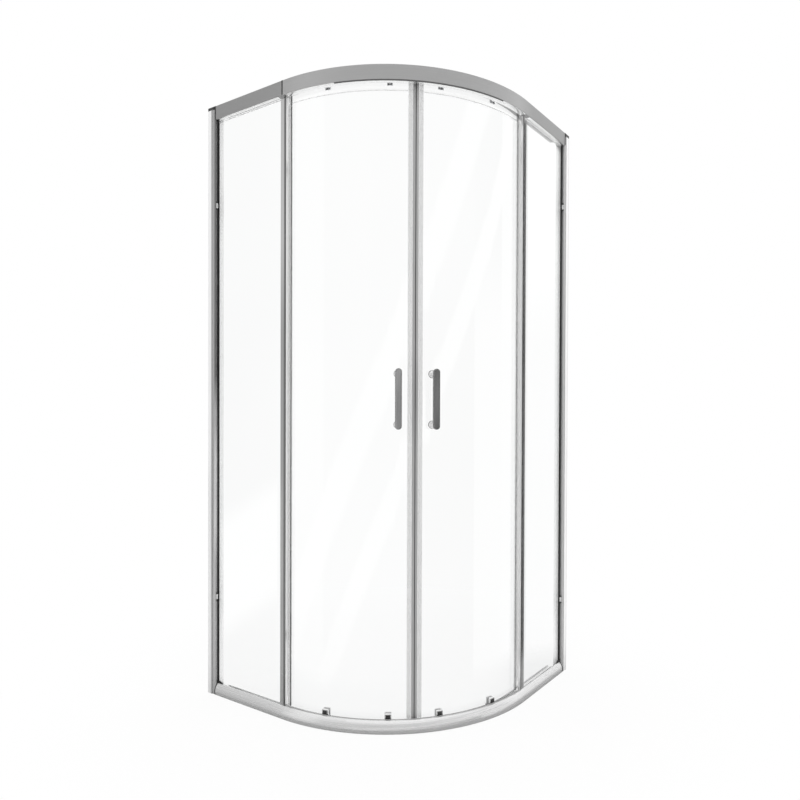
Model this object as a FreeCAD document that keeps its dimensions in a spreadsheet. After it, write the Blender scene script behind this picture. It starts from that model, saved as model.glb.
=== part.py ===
import FreeCAD, Part
import math
import os
import re

import Sketcher
from FreeCAD import Placement, Rotation, Vector

# A quadrant shower enclosure: two flat fixed panes stand on two walls, and two bent sliding doors
# close the round corner between them. The left half is modelled, and the right half mirrors it.

# Driving sizes in millimetres
SIZES = {
    # Whole enclosure
    "cabin_size": 900,
    "cabin_height": 1950,
    "corner_radius": 550,
    "glass_thick": 5,
    "cut_overrun": 1,
    # Depths of the panes, measured inwards from the outermost line of the sill rail
    "fascia_setback": 2,
    "fixed_glass_depth": 16,
    "door_glass_depth": 33,
    # Rails
    "rail_wall": 1.8,
    "rail_edge_round": 1.2,
    "top_rail_height": 44,
    "bottom_rail_height": 37,
    "slot_clear": 1.5,
    "rear_lip_drop": 18,
    "glass_seat": 16,
    "inner_lip_height": 29,
    "nose_tuck": 3,
    "nose_start": 12,
    "nose_radius": 44,
    "nose_lower_radius": 30,
    "nose_cap": 10,
    "crest_width": 3,
    "track_drop": 21,
    "track_height": 12,
    "track_lip": 1.2,
    "track_lip_height": 2.2,
    "back_lip_height": 16,
    "swing_room": 5.2,
    # Wall profile and the jamb profile that slides in it
    "wall_profile_width": 21.5,
    "wall_profile_depth": 40,
    "wall_profile_wall": 1.6,
    "wall_profile_round": 1,
    "wall_hole_radius": 2.75,
    "wall_hole_end_gap": 125,
    "inner_hole_share": 0.34,
    "jamb_inset": 8,
    "jamb_clear": 0.4,
    "jamb_wall": 1.6,
    "jamb_show": 14.5,
    "jamb_round": 1,
    "channel_depth": 14,
    "profile_end_clear": 0.3,
    "gasket_thick": 1.6,
    "gasket_web": 3,
    "gasket_show": 5,
    "gasket_rear_cut": 7,
    "cap_plate": 4,
    "cap_spigot": 8,
    "cap_spigot_clear": 0.4,
    "clip_height": 17,
    "clip_thick": 2.2,
    "clip_edge": 0.8,
    "clip_round": 1.5,
    "left_clip_gap": 326,
    "right_clip_gap": 265,
    # Rail ends: rubber pads, corner seals, and the blocks and screws inside
    "end_pad_thick": 1.5,
    "corner_seal_length": 22,
    "corner_seal_height": 10,
    "corner_seal_tip": 1.5,
    "corner_seal_clear": 0.1,
    "block_length": 30,
    "block_height": 17,
    "block_depth": 13,
    "screw_radius": 2.1,
    "screw_clear": 0.1,
    "screw_length": 22,
    "screw_head_radius": 4,
    "screw_head_thick": 2.6,
    # Fixed pane
    "head_room": 6,
    "strip_web": 2,
    "strip_leg": 12,
    "edge_width": 22.5,
    "edge_overrun": 1,
    "edge_nose": 8,
    "edge_front_wall": 3,
    "edge_rear_wall": 1.6,
    "edge_round": 2,
    "seal_inset": 2.8,
    "seal_foot_width": 3,
    "seal_foot_depth": 3,
    "seal_fin": 1.2,
    "seal_fin_clear": 0.4,
    "seal_end_gap": 25,
    # Door pane and the strips on its edges
    "door_bottom": 22,
    "door_top_drop": 24,
    "door_overrun": 5,
    "strip_end_gap": 10,
    "trailing_web": 1.6,
    "trailing_grip": 9,
    "hook_clear": 1.5,
    "strip_wall": 1.4,
    "strip_fit": 0.1,
    "carrier_web": 2,
    "carrier_grip": 12,
    "magnet_width": 8,
    "meeting_half_gap": 0.3,
    "drip_web": 1.5,
    "drip_leg": 8,
    "drip_drop": 4,
    "drip_end_gap": 2,
    # Rollers
    "trailing_roller_run": 137,
    "leading_roller_setback": 77.6,
    "top_roller_drop": 36,
    "bottom_roller_height": 40,
    "block_size": 20,
    "block_round": 2.5,
    "roller_cap_thick": 8,
    "roller_cap_rise": 4,
    "roller_cap_round": 1.5,
    "adjuster_radius": 4.5,
    "adjuster_sink": 1.2,
    "glass_hole_radius": 5,
    "stem_radius": 4.4,
    "seat_clear": 0.2,
    "bracket_thick": 2.5,
    "bracket_half_width": 8,
    "nut_block_size": 14,
    "nut_block_thick": 7,
    "top_wheel_radius": 8,
    "bottom_wheel_radius": 8,
    "wheel_width": 6,
    "wheel_clear": 0.8,
    "wheel_chamfer": 0.8,
    "track_gap": 0.3,
    "axle_pin_radius": 2.5,
    "axle_fit": 0.05,
    "axle_journal_radius": 3,
    "bore_clear": 0.08,
    "axle_shoulder_radius": 5,
    "axle_head_radius": 4.6,
    "axle_head_thick": 1.5,
    "axle_end_clear": 0.2,
    # Release buttons of the bottom rollers
    "bezel_thick": 7,
    "bezel_base": 1.2,
    "well_size": 13.4,
    "button_clear": 0.4,
    "button_thick": 4.5,
    "button_travel": 2.5,
    "button_end_clear": 0.3,
    "button_stem_radius": 3,
    "button_round": 1,
    # Handles
    "handle_setback": 52,
    "handle_height": 981,
    "handle_length": 178,
    "handle_half_width": 10,
    "handle_thick": 12,
    "handle_round": 4,
    "handle_standoff": 38,
    "post_spacing": 150,
    "post_radius": 6,
    "rosette_radius": 11,
    "rosette_thick": 3,
    "stud_radius": 4,
    "stud_hole_radius": 5,
    "nut_radius": 8,
    "nut_thick": 6,
    "nut_chamfer": 1.5,
    # Door travel and the stops that end it
    "door_travel": 201,
    "stop_clear": 1,
    "stop_length": 12,
    "stop_height": 14,
}

# Places worked out from the driving sizes
PLACES = {
    "half_size": "cabin_size / 2",
    "tangent": "cabin_size - corner_radius",
    "mid_height": "cabin_height / 2",
    # Heights
    "top_base": "cabin_height - top_rail_height",
    "top_web": "cabin_height - rail_wall",
    "track_top": "cabin_height - track_drop",
    "profile_top": "cabin_height - cap_plate",
    "upright_bottom": "bottom_rail_height + profile_end_clear",
    "upright_top": "top_base - profile_end_clear",
    "wall_hole_rise": "mid_height - wall_hole_end_gap",
    "fixed_bottom": "glass_seat + strip_web",
    "fixed_top": "top_web - head_room",
    "door_top": "cabin_height - door_top_drop",
    "strip_bottom": "door_bottom + strip_end_gap",
    "strip_top": "door_top - strip_end_gap",
    "top_roller_height": "cabin_height - top_roller_drop",
    "top_axle_height": "track_top + top_wheel_radius + track_gap",
    "bottom_axle_height": "track_height + bottom_wheel_radius + track_gap",
    # Depths inwards from the outermost line
    "profile_back": "fascia_setback + wall_profile_depth",
    "jamb_front": "fascia_setback + wall_profile_wall + jamb_clear",
    "jamb_back": "profile_back - wall_profile_wall - jamb_clear",
    "slot_front": "fixed_glass_depth - slot_clear",
    "fixed_back": "fixed_glass_depth + glass_thick",
    "slot_back": "fixed_back + slot_clear",
    "slot_wall": "slot_back + rail_wall",
    "gasket_front": "fixed_glass_depth - gasket_thick",
    "gasket_back": "fixed_back + gasket_thick",
    "edge_face": "fixed_glass_depth - edge_front_wall",
    "edge_rear": "fixed_back + edge_rear_wall",
    "door_back": "door_glass_depth + glass_thick",
    "plate_front": "door_back + seat_clear",
    "plate_back": "plate_front + bracket_thick",
    "track_front": "plate_back + swing_room",
    "wheel_front": "track_front + track_lip + wheel_clear",
    "wheel_back": "wheel_front + wheel_width",
    "head_back": "wheel_back + axle_end_clear + axle_head_thick",
    "rail_back": "head_back + swing_room",
    "rail_depth": "rail_back + rail_wall",
    # Lengths along the fixed pane, from its wall
    "jamb_face": "wall_profile_width + jamb_show",
    "channel_floor": "jamb_face - channel_depth",
    "rail_start": "jamb_face + end_pad_thick",
    "gasket_end": "jamb_face + gasket_show",
    "fixed_start": "channel_floor + gasket_web",
    "edge_end": "tangent + edge_overrun",
    "edge_start": "edge_end - edge_width",
    "fixed_end": "edge_end - edge_nose",
    "seal_place": "edge_end - seal_inset",
    "screw_depth": "slot_wall + block_depth / 2",
    # Radii about the centre of the round corner
    "door_radius": "corner_radius - door_glass_depth",
    "door_inner": "corner_radius - door_back",
    "plate_outer": "corner_radius - plate_front",
    "plate_inner": "corner_radius - plate_back",
    "wheel_outer": "corner_radius - wheel_front",
    "wheel_inner": "corner_radius - wheel_back",
    "head_inner": "corner_radius - head_back",
    "wheel_path": "(wheel_outer + wheel_inner) / 2",
    "button_back": "door_radius + bezel_base + button_travel + button_end_clear",
    "bar_radius": "door_radius + handle_standoff",
    "leg_outer": "door_radius + strip_fit",
    "leg_inner": "door_inner - strip_fit",
    "strip_outer": "leg_outer + strip_wall",
    "strip_inner": "leg_inner - strip_wall",
    # Turns about the centre of the round corner, from the left tangent point, in degrees
    "turn_per_run": "180 / pi / door_radius",
    "meeting_turn": "90 / 2",
    "glass_start": "(trailing_web - door_overrun) * turn_per_run",
    "glass_end": "meeting_turn - (meeting_half_gap + magnet_width + carrier_web) * turn_per_run",
    "magnet_start": "glass_end + carrier_web * turn_per_run",
    "trailing_turn": "trailing_roller_run * turn_per_run",
    "leading_turn": "meeting_turn - leading_roller_setback * turn_per_run",
    "handle_turn": "meeting_turn - handle_setback * turn_per_run",
    "open_turn": "(trailing_roller_run - door_travel) * turn_per_run",
    "drip_gap": "(block_size / 2 + drip_end_gap) * turn_per_run",
}

ROLLER_TURNS = {"leading": "leading_turn", "trailing": "trailing_turn"}

doc = FreeCAD.newDocument("quadrant_shower_enclosure")
sheet = doc.addObject("Spreadsheet::Sheet", "dim")
for row, (alias, value) in enumerate(SIZES.items(), start=1):
    sheet.set(f"A{row}", alias)
    sheet.set(f"B{row}", str(value))
    sheet.setAlias(f"B{row}", alias)
doc.recompute()


def ex(words):
    """Sheet expression for a size written in plain names."""

    def swap(match):
        name = match.group()
        if name in SIZES:
            return f"dim.{name}"
        if name in PLACES:
            return f"({ex(PLACES[name])})"
        return name

    return re.sub(r"[a-z_]+", swap, words)


def number(words):
    return float(sheet.evalExpression(ex(words)))


def panel_body(label):
    """Body in the left pane's frame: X from the wall, Y inwards, Z up."""
    body = doc.addObject("PartDesign::Body", label)
    body.Label = label
    body.setExpression("Placement.Base.x", ex("-half_size"))
    body.setExpression("Placement.Base.y", ex("-half_size"))
    return body


def arc_body(label, turn):
    """Body in the round corner's frame: X outwards at the given turn, Y along the arc, Z up."""
    body = doc.addObject("PartDesign::Body", label)
    body.Label = label
    body.Placement = Placement(Vector(), Rotation(Vector(0, 0, 1), number(f"{turn} - 90")))
    body.setExpression("Placement.Base.x", ex("half_size - corner_radius"))
    body.setExpression("Placement.Base.y", ex("corner_radius - half_size"))
    body.setExpression("Placement.Rotation.Angle", ex(f"{turn} - 90"))
    return body


def bind(sketch, kind, geometry, point, words):
    """Constraint from the sketch's origin to a point, tied to the sheet."""
    place = Sketcher.Constraint(kind, -1, 1, geometry, point, number(words))
    index = sketch.addConstraint(place)
    sketch.setExpression(f"Constraints[{index}]", ex(words))


def bind_radius(sketch, geometry, words):
    index = sketch.addConstraint(Sketcher.Constraint("Radius", geometry, number(words)))
    sketch.setExpression(f"Constraints[{index}]", ex(words))


def arc_between(start, end, radius):
    """Arc that runs counterclockwise from start to end."""
    chord = end - start
    rise = math.sqrt(max(radius ** 2 - chord.Length ** 2 / 4, 0))
    left = Vector(-chord.y, chord.x, 0).normalize()
    centre = (start + end) / 2 + left * rise
    angles = [math.atan2(point.y - centre.y, point.x - centre.x) for point in (start, end)]
    return Part.ArcOfCircle(Part.Circle(centre, Vector(0, 0, 1), radius), *angles)


def draw_outline(sketch, points):
    """Closed outline, counterclockwise. A third value bends the edge that follows to that radius."""
    first = sketch.GeometryCount
    places = [Vector(number(point[0]), number(point[1]), 0) for point in points]
    for index, point in enumerate(points):
        start, end = places[index], places[(index + 1) % len(points)]
        if len(point) > 2:
            sketch.addGeometry(arc_between(start, end, number(point[2])))
        else:
            sketch.addGeometry(Part.LineSegment(start, end))
    for index in range(len(points)):
        following = first + (index + 1) % len(points)
        sketch.addConstraint(Sketcher.Constraint("Coincident", first + index, 2, following, 1))
    for index, point in enumerate(points):
        bind(sketch, "DistanceX", first + index, 1, point[0])
        bind(sketch, "DistanceY", first + index, 1, point[1])
        if len(point) > 2:
            bind_radius(sketch, first + index, point[2])


def draw_circle(sketch, x, y, radius):
    centre = Vector(number(x), number(y), 0)
    index = sketch.addGeometry(Part.Circle(centre, Vector(0, 0, 1), number(radius)))
    bind(sketch, "DistanceX", index, 3, x)
    bind(sketch, "DistanceY", index, 3, y)
    bind_radius(sketch, index, radius)


def draw(body, role, shapes, out="0", up="0"):
    """Sketch on one of the body's planes, moved out along its normal and up in the plane."""
    sketch = body.newObject("Sketcher::SketchObject", f"{body.Name}_sketch")
    plane = next(plane for plane in body.Origin.OriginFeatures if plane.Role == role)
    sketch.AttachmentSupport = (plane, [""])
    sketch.MapMode = "FlatFace"
    sketch.setExpression("AttachmentOffset.Base.z", ex(out))
    sketch.setExpression("AttachmentOffset.Base.y", ex(up))
    for shape in shapes:
        if isinstance(shape, tuple):
            draw_circle(sketch, *shape)
        else:
            draw_outline(sketch, shape)
    return sketch


def pad(body, role, shapes, start, length):
    feature = body.newObject("PartDesign::Pad", f"{body.Name}_pad")
    feature.Profile = draw(body, role, shapes, start)
    feature.setExpression("Length", ex(length))
    doc.recompute()
    return feature


def pocket(body, role, shapes, start, depth):
    """Cut against the plane's normal, from start to the given depth."""
    before = body.Shape.Volume
    feature = body.newObject("PartDesign::Pocket", f"{body.Name}_pocket")
    feature.Profile = draw(body, role, shapes, start)
    feature.setExpression("Length", ex(depth))
    doc.recompute()
    if body.Shape.Volume >= before:
        raise RuntimeError(f"{body.Label}: a pocket cuts nothing")
    return feature


def turn_round(body, points, height):
    """Full turn of a half section about the radial line at the given height."""
    feature = body.newObject("PartDesign::Revolution", f"{body.Name}_turned")
    sketch = draw(body, "XZ_Plane", [points], up=height)
    feature.Profile = sketch
    feature.ReferenceAxis = (sketch, ["H_Axis"])
    feature.Angle = 360
    doc.recompute()
    return feature


def bend(body, sections, turn, backwards=False):
    """Sections of radius and height, carried about the corner's upright axis."""
    feature = body.newObject("PartDesign::Revolution", f"{body.Name}_bent")
    sketch = draw(body, "XZ_Plane", sections)
    feature.Profile = sketch
    feature.ReferenceAxis = (sketch, ["V_Axis"])
    feature.Reversed = backwards
    feature.setExpression("Angle", ex(turn))
    doc.recompute()
    return feature


def soften(body, radius, chosen):
    """Fillet on the chosen edges of the body's last feature."""
    base = body.Tip
    names = [f"Edge{index}" for index, edge in enumerate(base.Shape.Edges, start=1) if chosen(edge)]
    feature = body.newObject("PartDesign::Fillet", f"{body.Name}_fillet")
    feature.Base = (base, names)
    feature.setExpression("Radius", ex(radius))
    doc.recompute()
    return feature


def lies_at(axis, words):
    """Test for edges that lie wholly in one plane square to an axis."""
    place = number(words)
    tolerance = number("cut_overrun") / 1000

    def test(edge):
        low, high = getattr(edge.BoundBox, f"{axis}Min"), getattr(edge.BoundBox, f"{axis}Max")
        return abs(low - place) < tolerance and abs(high - place) < tolerance

    return test


def rectangle(x_low, x_high, y_low, y_high):
    return [(x_low, y_low), (x_high, y_low), (x_high, y_high), (x_low, y_high)]


def rounded_square(size, height, radius):
    """Square about an upright line, centred at a height, with round corners."""
    half = f"{size} / 2"
    low, high = f"{height} - {half}", f"{height} + {half}"
    return [
        (f"{radius} - {half}", low),
        (f"{half} - {radius}", low, radius),
        (half, f"{low} + {radius}"),
        (half, f"{high} - {radius}", radius),
        (f"{half} - {radius}", high),
        (f"{radius} - {half}", high, radius),
        (f"-{half}", f"{high} - {radius}"),
        (f"-{half}", f"{low} + {radius}", radius),
    ]


def group(label, pieces):
    compound = doc.addObject("Part::Compound", label)
    compound.Label = label
    compound.Links = pieces
    return compound


def mirrored(label, source):
    """Twin across the upright plane that halves the round corner."""
    twin = doc.addObject("Part::Mirroring", label)
    twin.Label = label
    twin.Source = source
    twin.Normal = Vector(1, 1, 0)
    return twin


def rail(label, loops):
    """Profile of depth and height carried along wall, corner and wall."""
    body = panel_body(label)
    path = body.newObject("Sketcher::SketchObject", f"{label}_path")
    plane = next(plane for plane in body.Origin.OriginFeatures if plane.Role == "XY_Plane")
    path.AttachmentSupport = (plane, [""])
    path.MapMode = "FlatFace"
    size, radius, begin = number("cabin_size"), number("corner_radius"), number("rail_start")
    bend_start, bend_end = Vector(size - radius, 0, 0), Vector(size, radius, 0)
    left = path.addGeometry(Part.LineSegment(Vector(begin, 0, 0), bend_start))
    corner = path.addGeometry(arc_between(bend_start, bend_end, radius))
    right = path.addGeometry(Part.LineSegment(bend_end, Vector(size, size - begin, 0)))
    path.addConstraint(Sketcher.Constraint("Coincident", left, 2, corner, 1))
    path.addConstraint(Sketcher.Constraint("Coincident", corner, 2, right, 1))
    bind(path, "DistanceX", left, 1, "rail_start")
    bind(path, "DistanceY", left, 1, "0")
    bind(path, "DistanceX", left, 2, "tangent")
    bind(path, "DistanceY", left, 2, "0")
    bind(path, "DistanceX", corner, 3, "tangent")
    bind(path, "DistanceY", corner, 3, "corner_radius")
    bind(path, "DistanceY", corner, 2, "corner_radius")
    bind(path, "DistanceX", right, 2, "cabin_size")
    bind(path, "DistanceY", right, 2, "cabin_size - rail_start")
    profile = draw(body, "YZ_Plane", loops, "rail_start")
    doc.recompute()
    feature = body.newObject("PartDesign::AdditivePipe", f"{label}_pipe")
    feature.Profile = profile
    feature.Spine = (path, ["Edge1", "Edge2", "Edge3"])
    doc.recompute()
    return body


def top_rail():
    """Flat fascia, glazing slot, and a ledge behind on which the door rollers hang."""
    outline = [
        ("fascia_setback + rail_edge_round", "top_base"),
        ("slot_front", "top_base"),
        ("slot_front", "top_web"),
        ("slot_back", "top_web"),
        ("slot_back", "top_web - rear_lip_drop"),
        ("slot_wall", "top_web - rear_lip_drop"),
        ("slot_wall", "top_web"),
        ("rail_back", "top_web"),
        ("rail_back", "track_top"),
        ("track_front + track_lip", "track_top"),
        ("track_front + track_lip", "track_top + track_lip_height"),
        ("track_front", "track_top + track_lip_height"),
        ("track_front", "track_top - rail_wall"),
        ("rail_depth", "track_top - rail_wall"),
        ("rail_depth", "cabin_height - rail_edge_round", "rail_edge_round"),
        ("rail_depth - rail_edge_round", "cabin_height"),
        ("fascia_setback + rail_edge_round", "cabin_height", "rail_edge_round"),
        ("fascia_setback", "cabin_height - rail_edge_round"),
        ("fascia_setback", "top_base + rail_edge_round", "rail_edge_round"),
    ]
    chamber = rectangle(
        "fascia_setback + rail_wall", "slot_front - rail_wall", "top_base + rail_wall", "top_web"
    )
    return rail("top_rail", [outline, chamber])


def bottom_rail():
    """Round-nosed sill with a glazing slot, a drain trough and a low track behind."""
    outline = [
        ("nose_tuck", "0"),
        ("rail_depth", "0"),
        ("rail_depth", "back_lip_height"),
        ("rail_back", "back_lip_height"),
        ("rail_back", "track_height"),
        ("track_front + track_lip", "track_height"),
        ("track_front + track_lip", "track_height + track_lip_height"),
        ("track_front", "track_height + track_lip_height"),
        ("track_front", "rail_wall"),
        ("slot_wall", "rail_wall"),
        ("slot_wall", "inner_lip_height"),
        ("slot_back", "inner_lip_height"),
        ("slot_back", "glass_seat"),
        ("slot_front", "glass_seat"),
        *nose_curve()[:3],
    ]
    nose_chamber = [
        ("nose_tuck + rail_wall", "rail_wall"),
        ("slot_back", "rail_wall"),
        ("slot_back", "glass_seat - rail_wall"),
        ("slot_front - rail_wall", "glass_seat - rail_wall"),
        ("slot_front - rail_wall", "bottom_rail_height - nose_cap"),
        ("rail_wall", "nose_start"),
    ]
    track_chamber = rectangle(
        "track_front + rail_wall", "rail_back", "rail_wall", "track_height - rail_wall"
    )
    return rail("bottom_rail", [outline, nose_chamber, track_chamber])


def wall_profile():
    """Channel that is screwed to the wall through four holes."""
    body = panel_body("left_wall_profile")
    channel = [
        ("0", "fascia_setback"),
        ("wall_profile_width - wall_profile_round", "fascia_setback", "wall_profile_round"),
        ("wall_profile_width", "fascia_setback + wall_profile_round"),
        ("wall_profile_width", "fascia_setback + wall_profile_wall"),
        ("wall_profile_wall", "fascia_setback + wall_profile_wall"),
        ("wall_profile_wall", "profile_back - wall_profile_wall"),
        ("wall_profile_width", "profile_back - wall_profile_wall"),
        ("wall_profile_width", "profile_back"),
        ("0", "profile_back"),
    ]
    pad(body, "XY_Plane", [channel], "0", "profile_top")
    middle = "fascia_setback + wall_profile_depth / 2"
    holes = [
        (middle, f"mid_height {sign} {rise}", "wall_hole_radius")
        for rise in ("wall_hole_rise", "wall_hole_rise * inner_hole_share")
        for sign in "+-"
    ]
    through = "wall_profile_wall + cut_overrun"
    pocket(body, "YZ_Plane", holes, through, f"{through} + cut_overrun")
    return body


def jamb_profile():
    """Post that slides in the wall profile, with a channel in its side for the fixed pane."""
    body = panel_body("left_jamb_profile")
    post = [
        ("jamb_inset", "jamb_front"),
        ("jamb_face - jamb_round", "jamb_front", "jamb_round"),
        ("jamb_face", "jamb_front + jamb_round"),
        ("jamb_face", "gasket_front"),
        ("channel_floor", "gasket_front"),
        ("channel_floor", "gasket_back"),
        ("jamb_face", "gasket_back"),
        ("jamb_face", "jamb_back"),
        ("jamb_inset", "jamb_back"),
    ]
    chamber = [
        ("jamb_inset + jamb_wall", "jamb_front + jamb_wall"),
        ("jamb_face - jamb_wall", "jamb_front + jamb_wall"),
        ("jamb_face - jamb_wall", "gasket_front - jamb_wall"),
        ("channel_floor - jamb_wall", "gasket_front - jamb_wall"),
        ("channel_floor - jamb_wall", "gasket_back + jamb_wall"),
        ("jamb_face - jamb_wall", "gasket_back + jamb_wall"),
        ("jamb_face - jamb_wall", "jamb_back - jamb_wall"),
        ("jamb_inset + jamb_wall", "jamb_back - jamb_wall"),
    ]
    pad(body, "XY_Plane", [post, chamber], "0", "profile_top")
    screws = [("screw_depth", height, "screw_radius + screw_clear") for height in rail_screw_heights()]
    pocket(body, "YZ_Plane", screws, "jamb_face + cut_overrun", "jamb_wall + 2 * cut_overrun")
    return body


def rail_screw_heights():
    return "rail_wall + block_height / 2", "top_web - block_height / 2"


def jamb_gasket():
    """Rubber channel round the pane's wall edge, down to the corner seal."""
    body = panel_body("left_jamb_gasket")
    channel = [
        ("channel_floor", "gasket_front"),
        ("gasket_end", "gasket_front"),
        ("gasket_end", "fixed_glass_depth"),
        ("fixed_start", "fixed_glass_depth"),
        ("fixed_start", "fixed_back"),
        ("gasket_end - gasket_rear_cut", "fixed_back"),
        ("gasket_end - gasket_rear_cut", "gasket_back"),
        ("channel_floor", "gasket_back"),
    ]
    foot = "upright_bottom + corner_seal_height"
    pad(body, "XY_Plane", [channel], foot, f"upright_top - ({foot})")
    return body


def fixed_glass():
    body = panel_body("left_fixed_glass")
    pane = rectangle("fixed_start", "fixed_end", "fixed_glass_depth", "fixed_back")
    pad(body, "XY_Plane", [pane], "fixed_bottom", "fixed_top - fixed_bottom")
    return body


def fixed_edge_profile():
    """Upright on the pane's free edge, slotted for the pane and grooved for its seal."""
    body = panel_body("left_fixed_edge_profile")
    back, front = "edge_start", "edge_end"
    groove_low, groove_high = seal_foot_sides()
    outline = [
        (f"{back} + edge_round", "edge_face"),
        (f"{front} - edge_round", "edge_face", "edge_round"),
        (front, "edge_face + edge_round"),
        (front, "edge_rear"),
        (groove_high, "edge_rear"),
        (groove_high, "edge_rear - seal_foot_depth"),
        (groove_low, "edge_rear - seal_foot_depth"),
        (groove_low, "edge_rear"),
        (back, "edge_rear"),
        (back, "fixed_back"),
        ("fixed_end", "fixed_back"),
        ("fixed_end", "fixed_glass_depth"),
        (back, "fixed_glass_depth"),
        (back, "edge_face + edge_round", "edge_round"),
    ]
    pad(body, "XY_Plane", [outline], "upright_bottom", "upright_top - upright_bottom")
    return body


def seal_foot_sides():
    return "seal_place - seal_foot_width / 2", "seal_place + seal_foot_width / 2"


def fixed_edge_seal():
    """Fin from the edge profile to the door, short of the roller blocks' paths."""
    body = panel_body("left_fixed_edge_seal")
    low, high = seal_foot_sides()
    tip = "corner_radius - strip_outer - seal_fin_clear"
    outline = [
        (low, "edge_rear - seal_foot_depth"),
        (high, "edge_rear - seal_foot_depth"),
        (high, "edge_rear"),
        ("seal_place + seal_fin / 2", "edge_rear"),
        ("seal_place + seal_fin / 2", tip),
        ("seal_place - seal_fin / 2", tip),
        ("seal_place - seal_fin / 2", "edge_rear"),
        (low, "edge_rear"),
    ]
    foot = "upright_bottom + seal_end_gap"
    pad(body, "XY_Plane", [outline], foot, f"upright_top - seal_end_gap - ({foot})")
    return body


def glazing_strips():
    """Channel strips that hold the fixed pane in the slots of both rails."""
    sill = [
        ("slot_front", "glass_seat"),
        ("slot_back", "glass_seat"),
        ("slot_back", "fixed_bottom + strip_leg"),
        ("fixed_back", "fixed_bottom + strip_leg"),
        ("fixed_back", "fixed_bottom"),
        ("fixed_glass_depth", "fixed_bottom"),
        ("fixed_glass_depth", "fixed_bottom + strip_leg"),
        ("slot_front", "fixed_bottom + strip_leg"),
    ]
    head = [
        ("slot_front", "fixed_top - strip_leg"),
        ("fixed_glass_depth", "fixed_top - strip_leg"),
        ("fixed_glass_depth", "fixed_top"),
        ("fixed_back", "fixed_top"),
        ("fixed_back", "fixed_top - strip_leg"),
        ("slot_back", "fixed_top - strip_leg"),
        ("slot_back", "fixed_top + strip_web"),
        ("slot_front", "fixed_top + strip_web"),
    ]
    strips = []
    for name, outline in (("sill_strip", sill), ("head_strip", head)):
        body = panel_body(name)
        pad(body, "YZ_Plane", [outline], "rail_start", "tangent - rail_start")
        strips.append(body)
    return group("left_glazing_strips", strips)


def wall_cap():
    """Plate on the top ends of wall profile and jamb, with a spigot in the jamb's chamber."""
    body = panel_body("wall_cap")
    plate = rectangle("0", "jamb_face", "fascia_setback", "profile_back")
    pad(body, "XY_Plane", [plate], "profile_top", "cap_plate")
    inset = "(jamb_wall + cap_spigot_clear)"
    spigot = rectangle(
        f"jamb_inset + {inset}",
        f"channel_floor - {inset}",
        f"jamb_front + {inset}",
        f"jamb_back - {inset}",
    )
    pad(body, "XY_Plane", [spigot], "profile_top - cap_spigot", "cap_spigot")
    return body


def jamb_clips(side):
    """Bright covers over the screws that lock one jamb in its wall profile."""
    clips = []
    for name, sign in (("upper_clip", "+"), ("lower_clip", "-")):
        body = panel_body(f"{side}_{name}")
        middle = f"mid_height {sign} (mid_height - {side}_clip_gap)"
        face = rectangle(
            "jamb_front + jamb_round + clip_edge",
            "gasket_front - clip_edge",
            f"{middle} - clip_height / 2",
            f"{middle} + clip_height / 2",
        )
        pad(body, "YZ_Plane", [face], "jamb_face", "clip_thick")
        soften(body, "clip_round", lies_at("X", "jamb_face + clip_thick"))
        clips.append(body)
    return group(f"{side}_clips", clips)


def nose_curve():
    """Front of the sill from its crest down to its foot."""
    return [
        ("slot_front", "bottom_rail_height"),
        ("slot_front - crest_width", "bottom_rail_height", "nose_radius"),
        ("0", "nose_start", "nose_lower_radius"),
        ("nose_tuck", "0"),
    ]


def rail_end_seals():
    """Rubber pads between the rails' front chambers and the jamb, and the wedge above the sill."""
    head = rectangle("fascia_setback", "slot_front", "top_base", "cabin_height")
    sill = [*nose_curve(), ("slot_front", "0")]
    seals = [corner_seal()]
    for name, outline in (("sill_pad", sill), ("head_pad", head)):
        body = panel_body(name)
        pad(body, "YZ_Plane", [outline], "jamb_face", "end_pad_thick")
        seals.append(body)
    return group("left_end_seals", seals)


def corner_seal():
    """Rubber wedge on the sill's crest, between the jamb and the fixed pane."""
    body = panel_body("left_corner_seal")
    wedge = [
        ("rail_start", "bottom_rail_height"),
        ("rail_start + corner_seal_length", "bottom_rail_height"),
        ("rail_start + corner_seal_length", "bottom_rail_height + corner_seal_tip"),
        ("rail_start", "bottom_rail_height + corner_seal_height"),
    ]
    back = "fixed_glass_depth - corner_seal_clear"
    front = "slot_front - crest_width"
    pad(body, "XZ_Plane", [wedge], f"-({back})", f"{back} - ({front})")
    return body


def rail_end_blocks():
    """Blocks in the rail ends that take the screws from the jamb."""
    blocks = []
    lows = ("rail_wall", "top_web - block_height")
    for name, low, middle in zip(("sill_block", "head_block"), lows, rail_screw_heights()):
        body = panel_body(name)
        end = rectangle("slot_wall", "slot_wall + block_depth", low, f"{low} + block_height")
        hole = ("screw_depth", middle, "screw_radius + screw_clear")
        pad(body, "YZ_Plane", [end, hole], "rail_start", "block_length")
        blocks.append(body)
    return group("left_end_blocks", blocks)


def rail_screws():
    screws = []
    head = "jamb_face - jamb_wall"
    for name, height in zip(("sill_screw", "head_screw"), rail_screw_heights()):
        body = panel_body(name)
        shank_circle = ("screw_depth", height, "screw_radius")
        head_circle = ("screw_depth", height, "screw_head_radius")
        pad(body, "YZ_Plane", [head_circle], f"{head} - screw_head_thick", "screw_head_thick")
        pad(body, "YZ_Plane", [shank_circle], head, "screw_length")
        screws.append(body)
    return group("left_screws", screws)


def door_stop():
    """Rubber block on the top track that the trailing roller meets when the door is open."""
    body = panel_body("left_stop")
    face = "tangent + wheel_path * sin(open_turn * 1 deg) - top_wheel_radius - stop_clear"
    block = rectangle(f"{face} - stop_length", face, "track_front + track_lip", "rail_back")
    pad(body, "XY_Plane", [block], "track_top", "stop_height")
    return body


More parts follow.
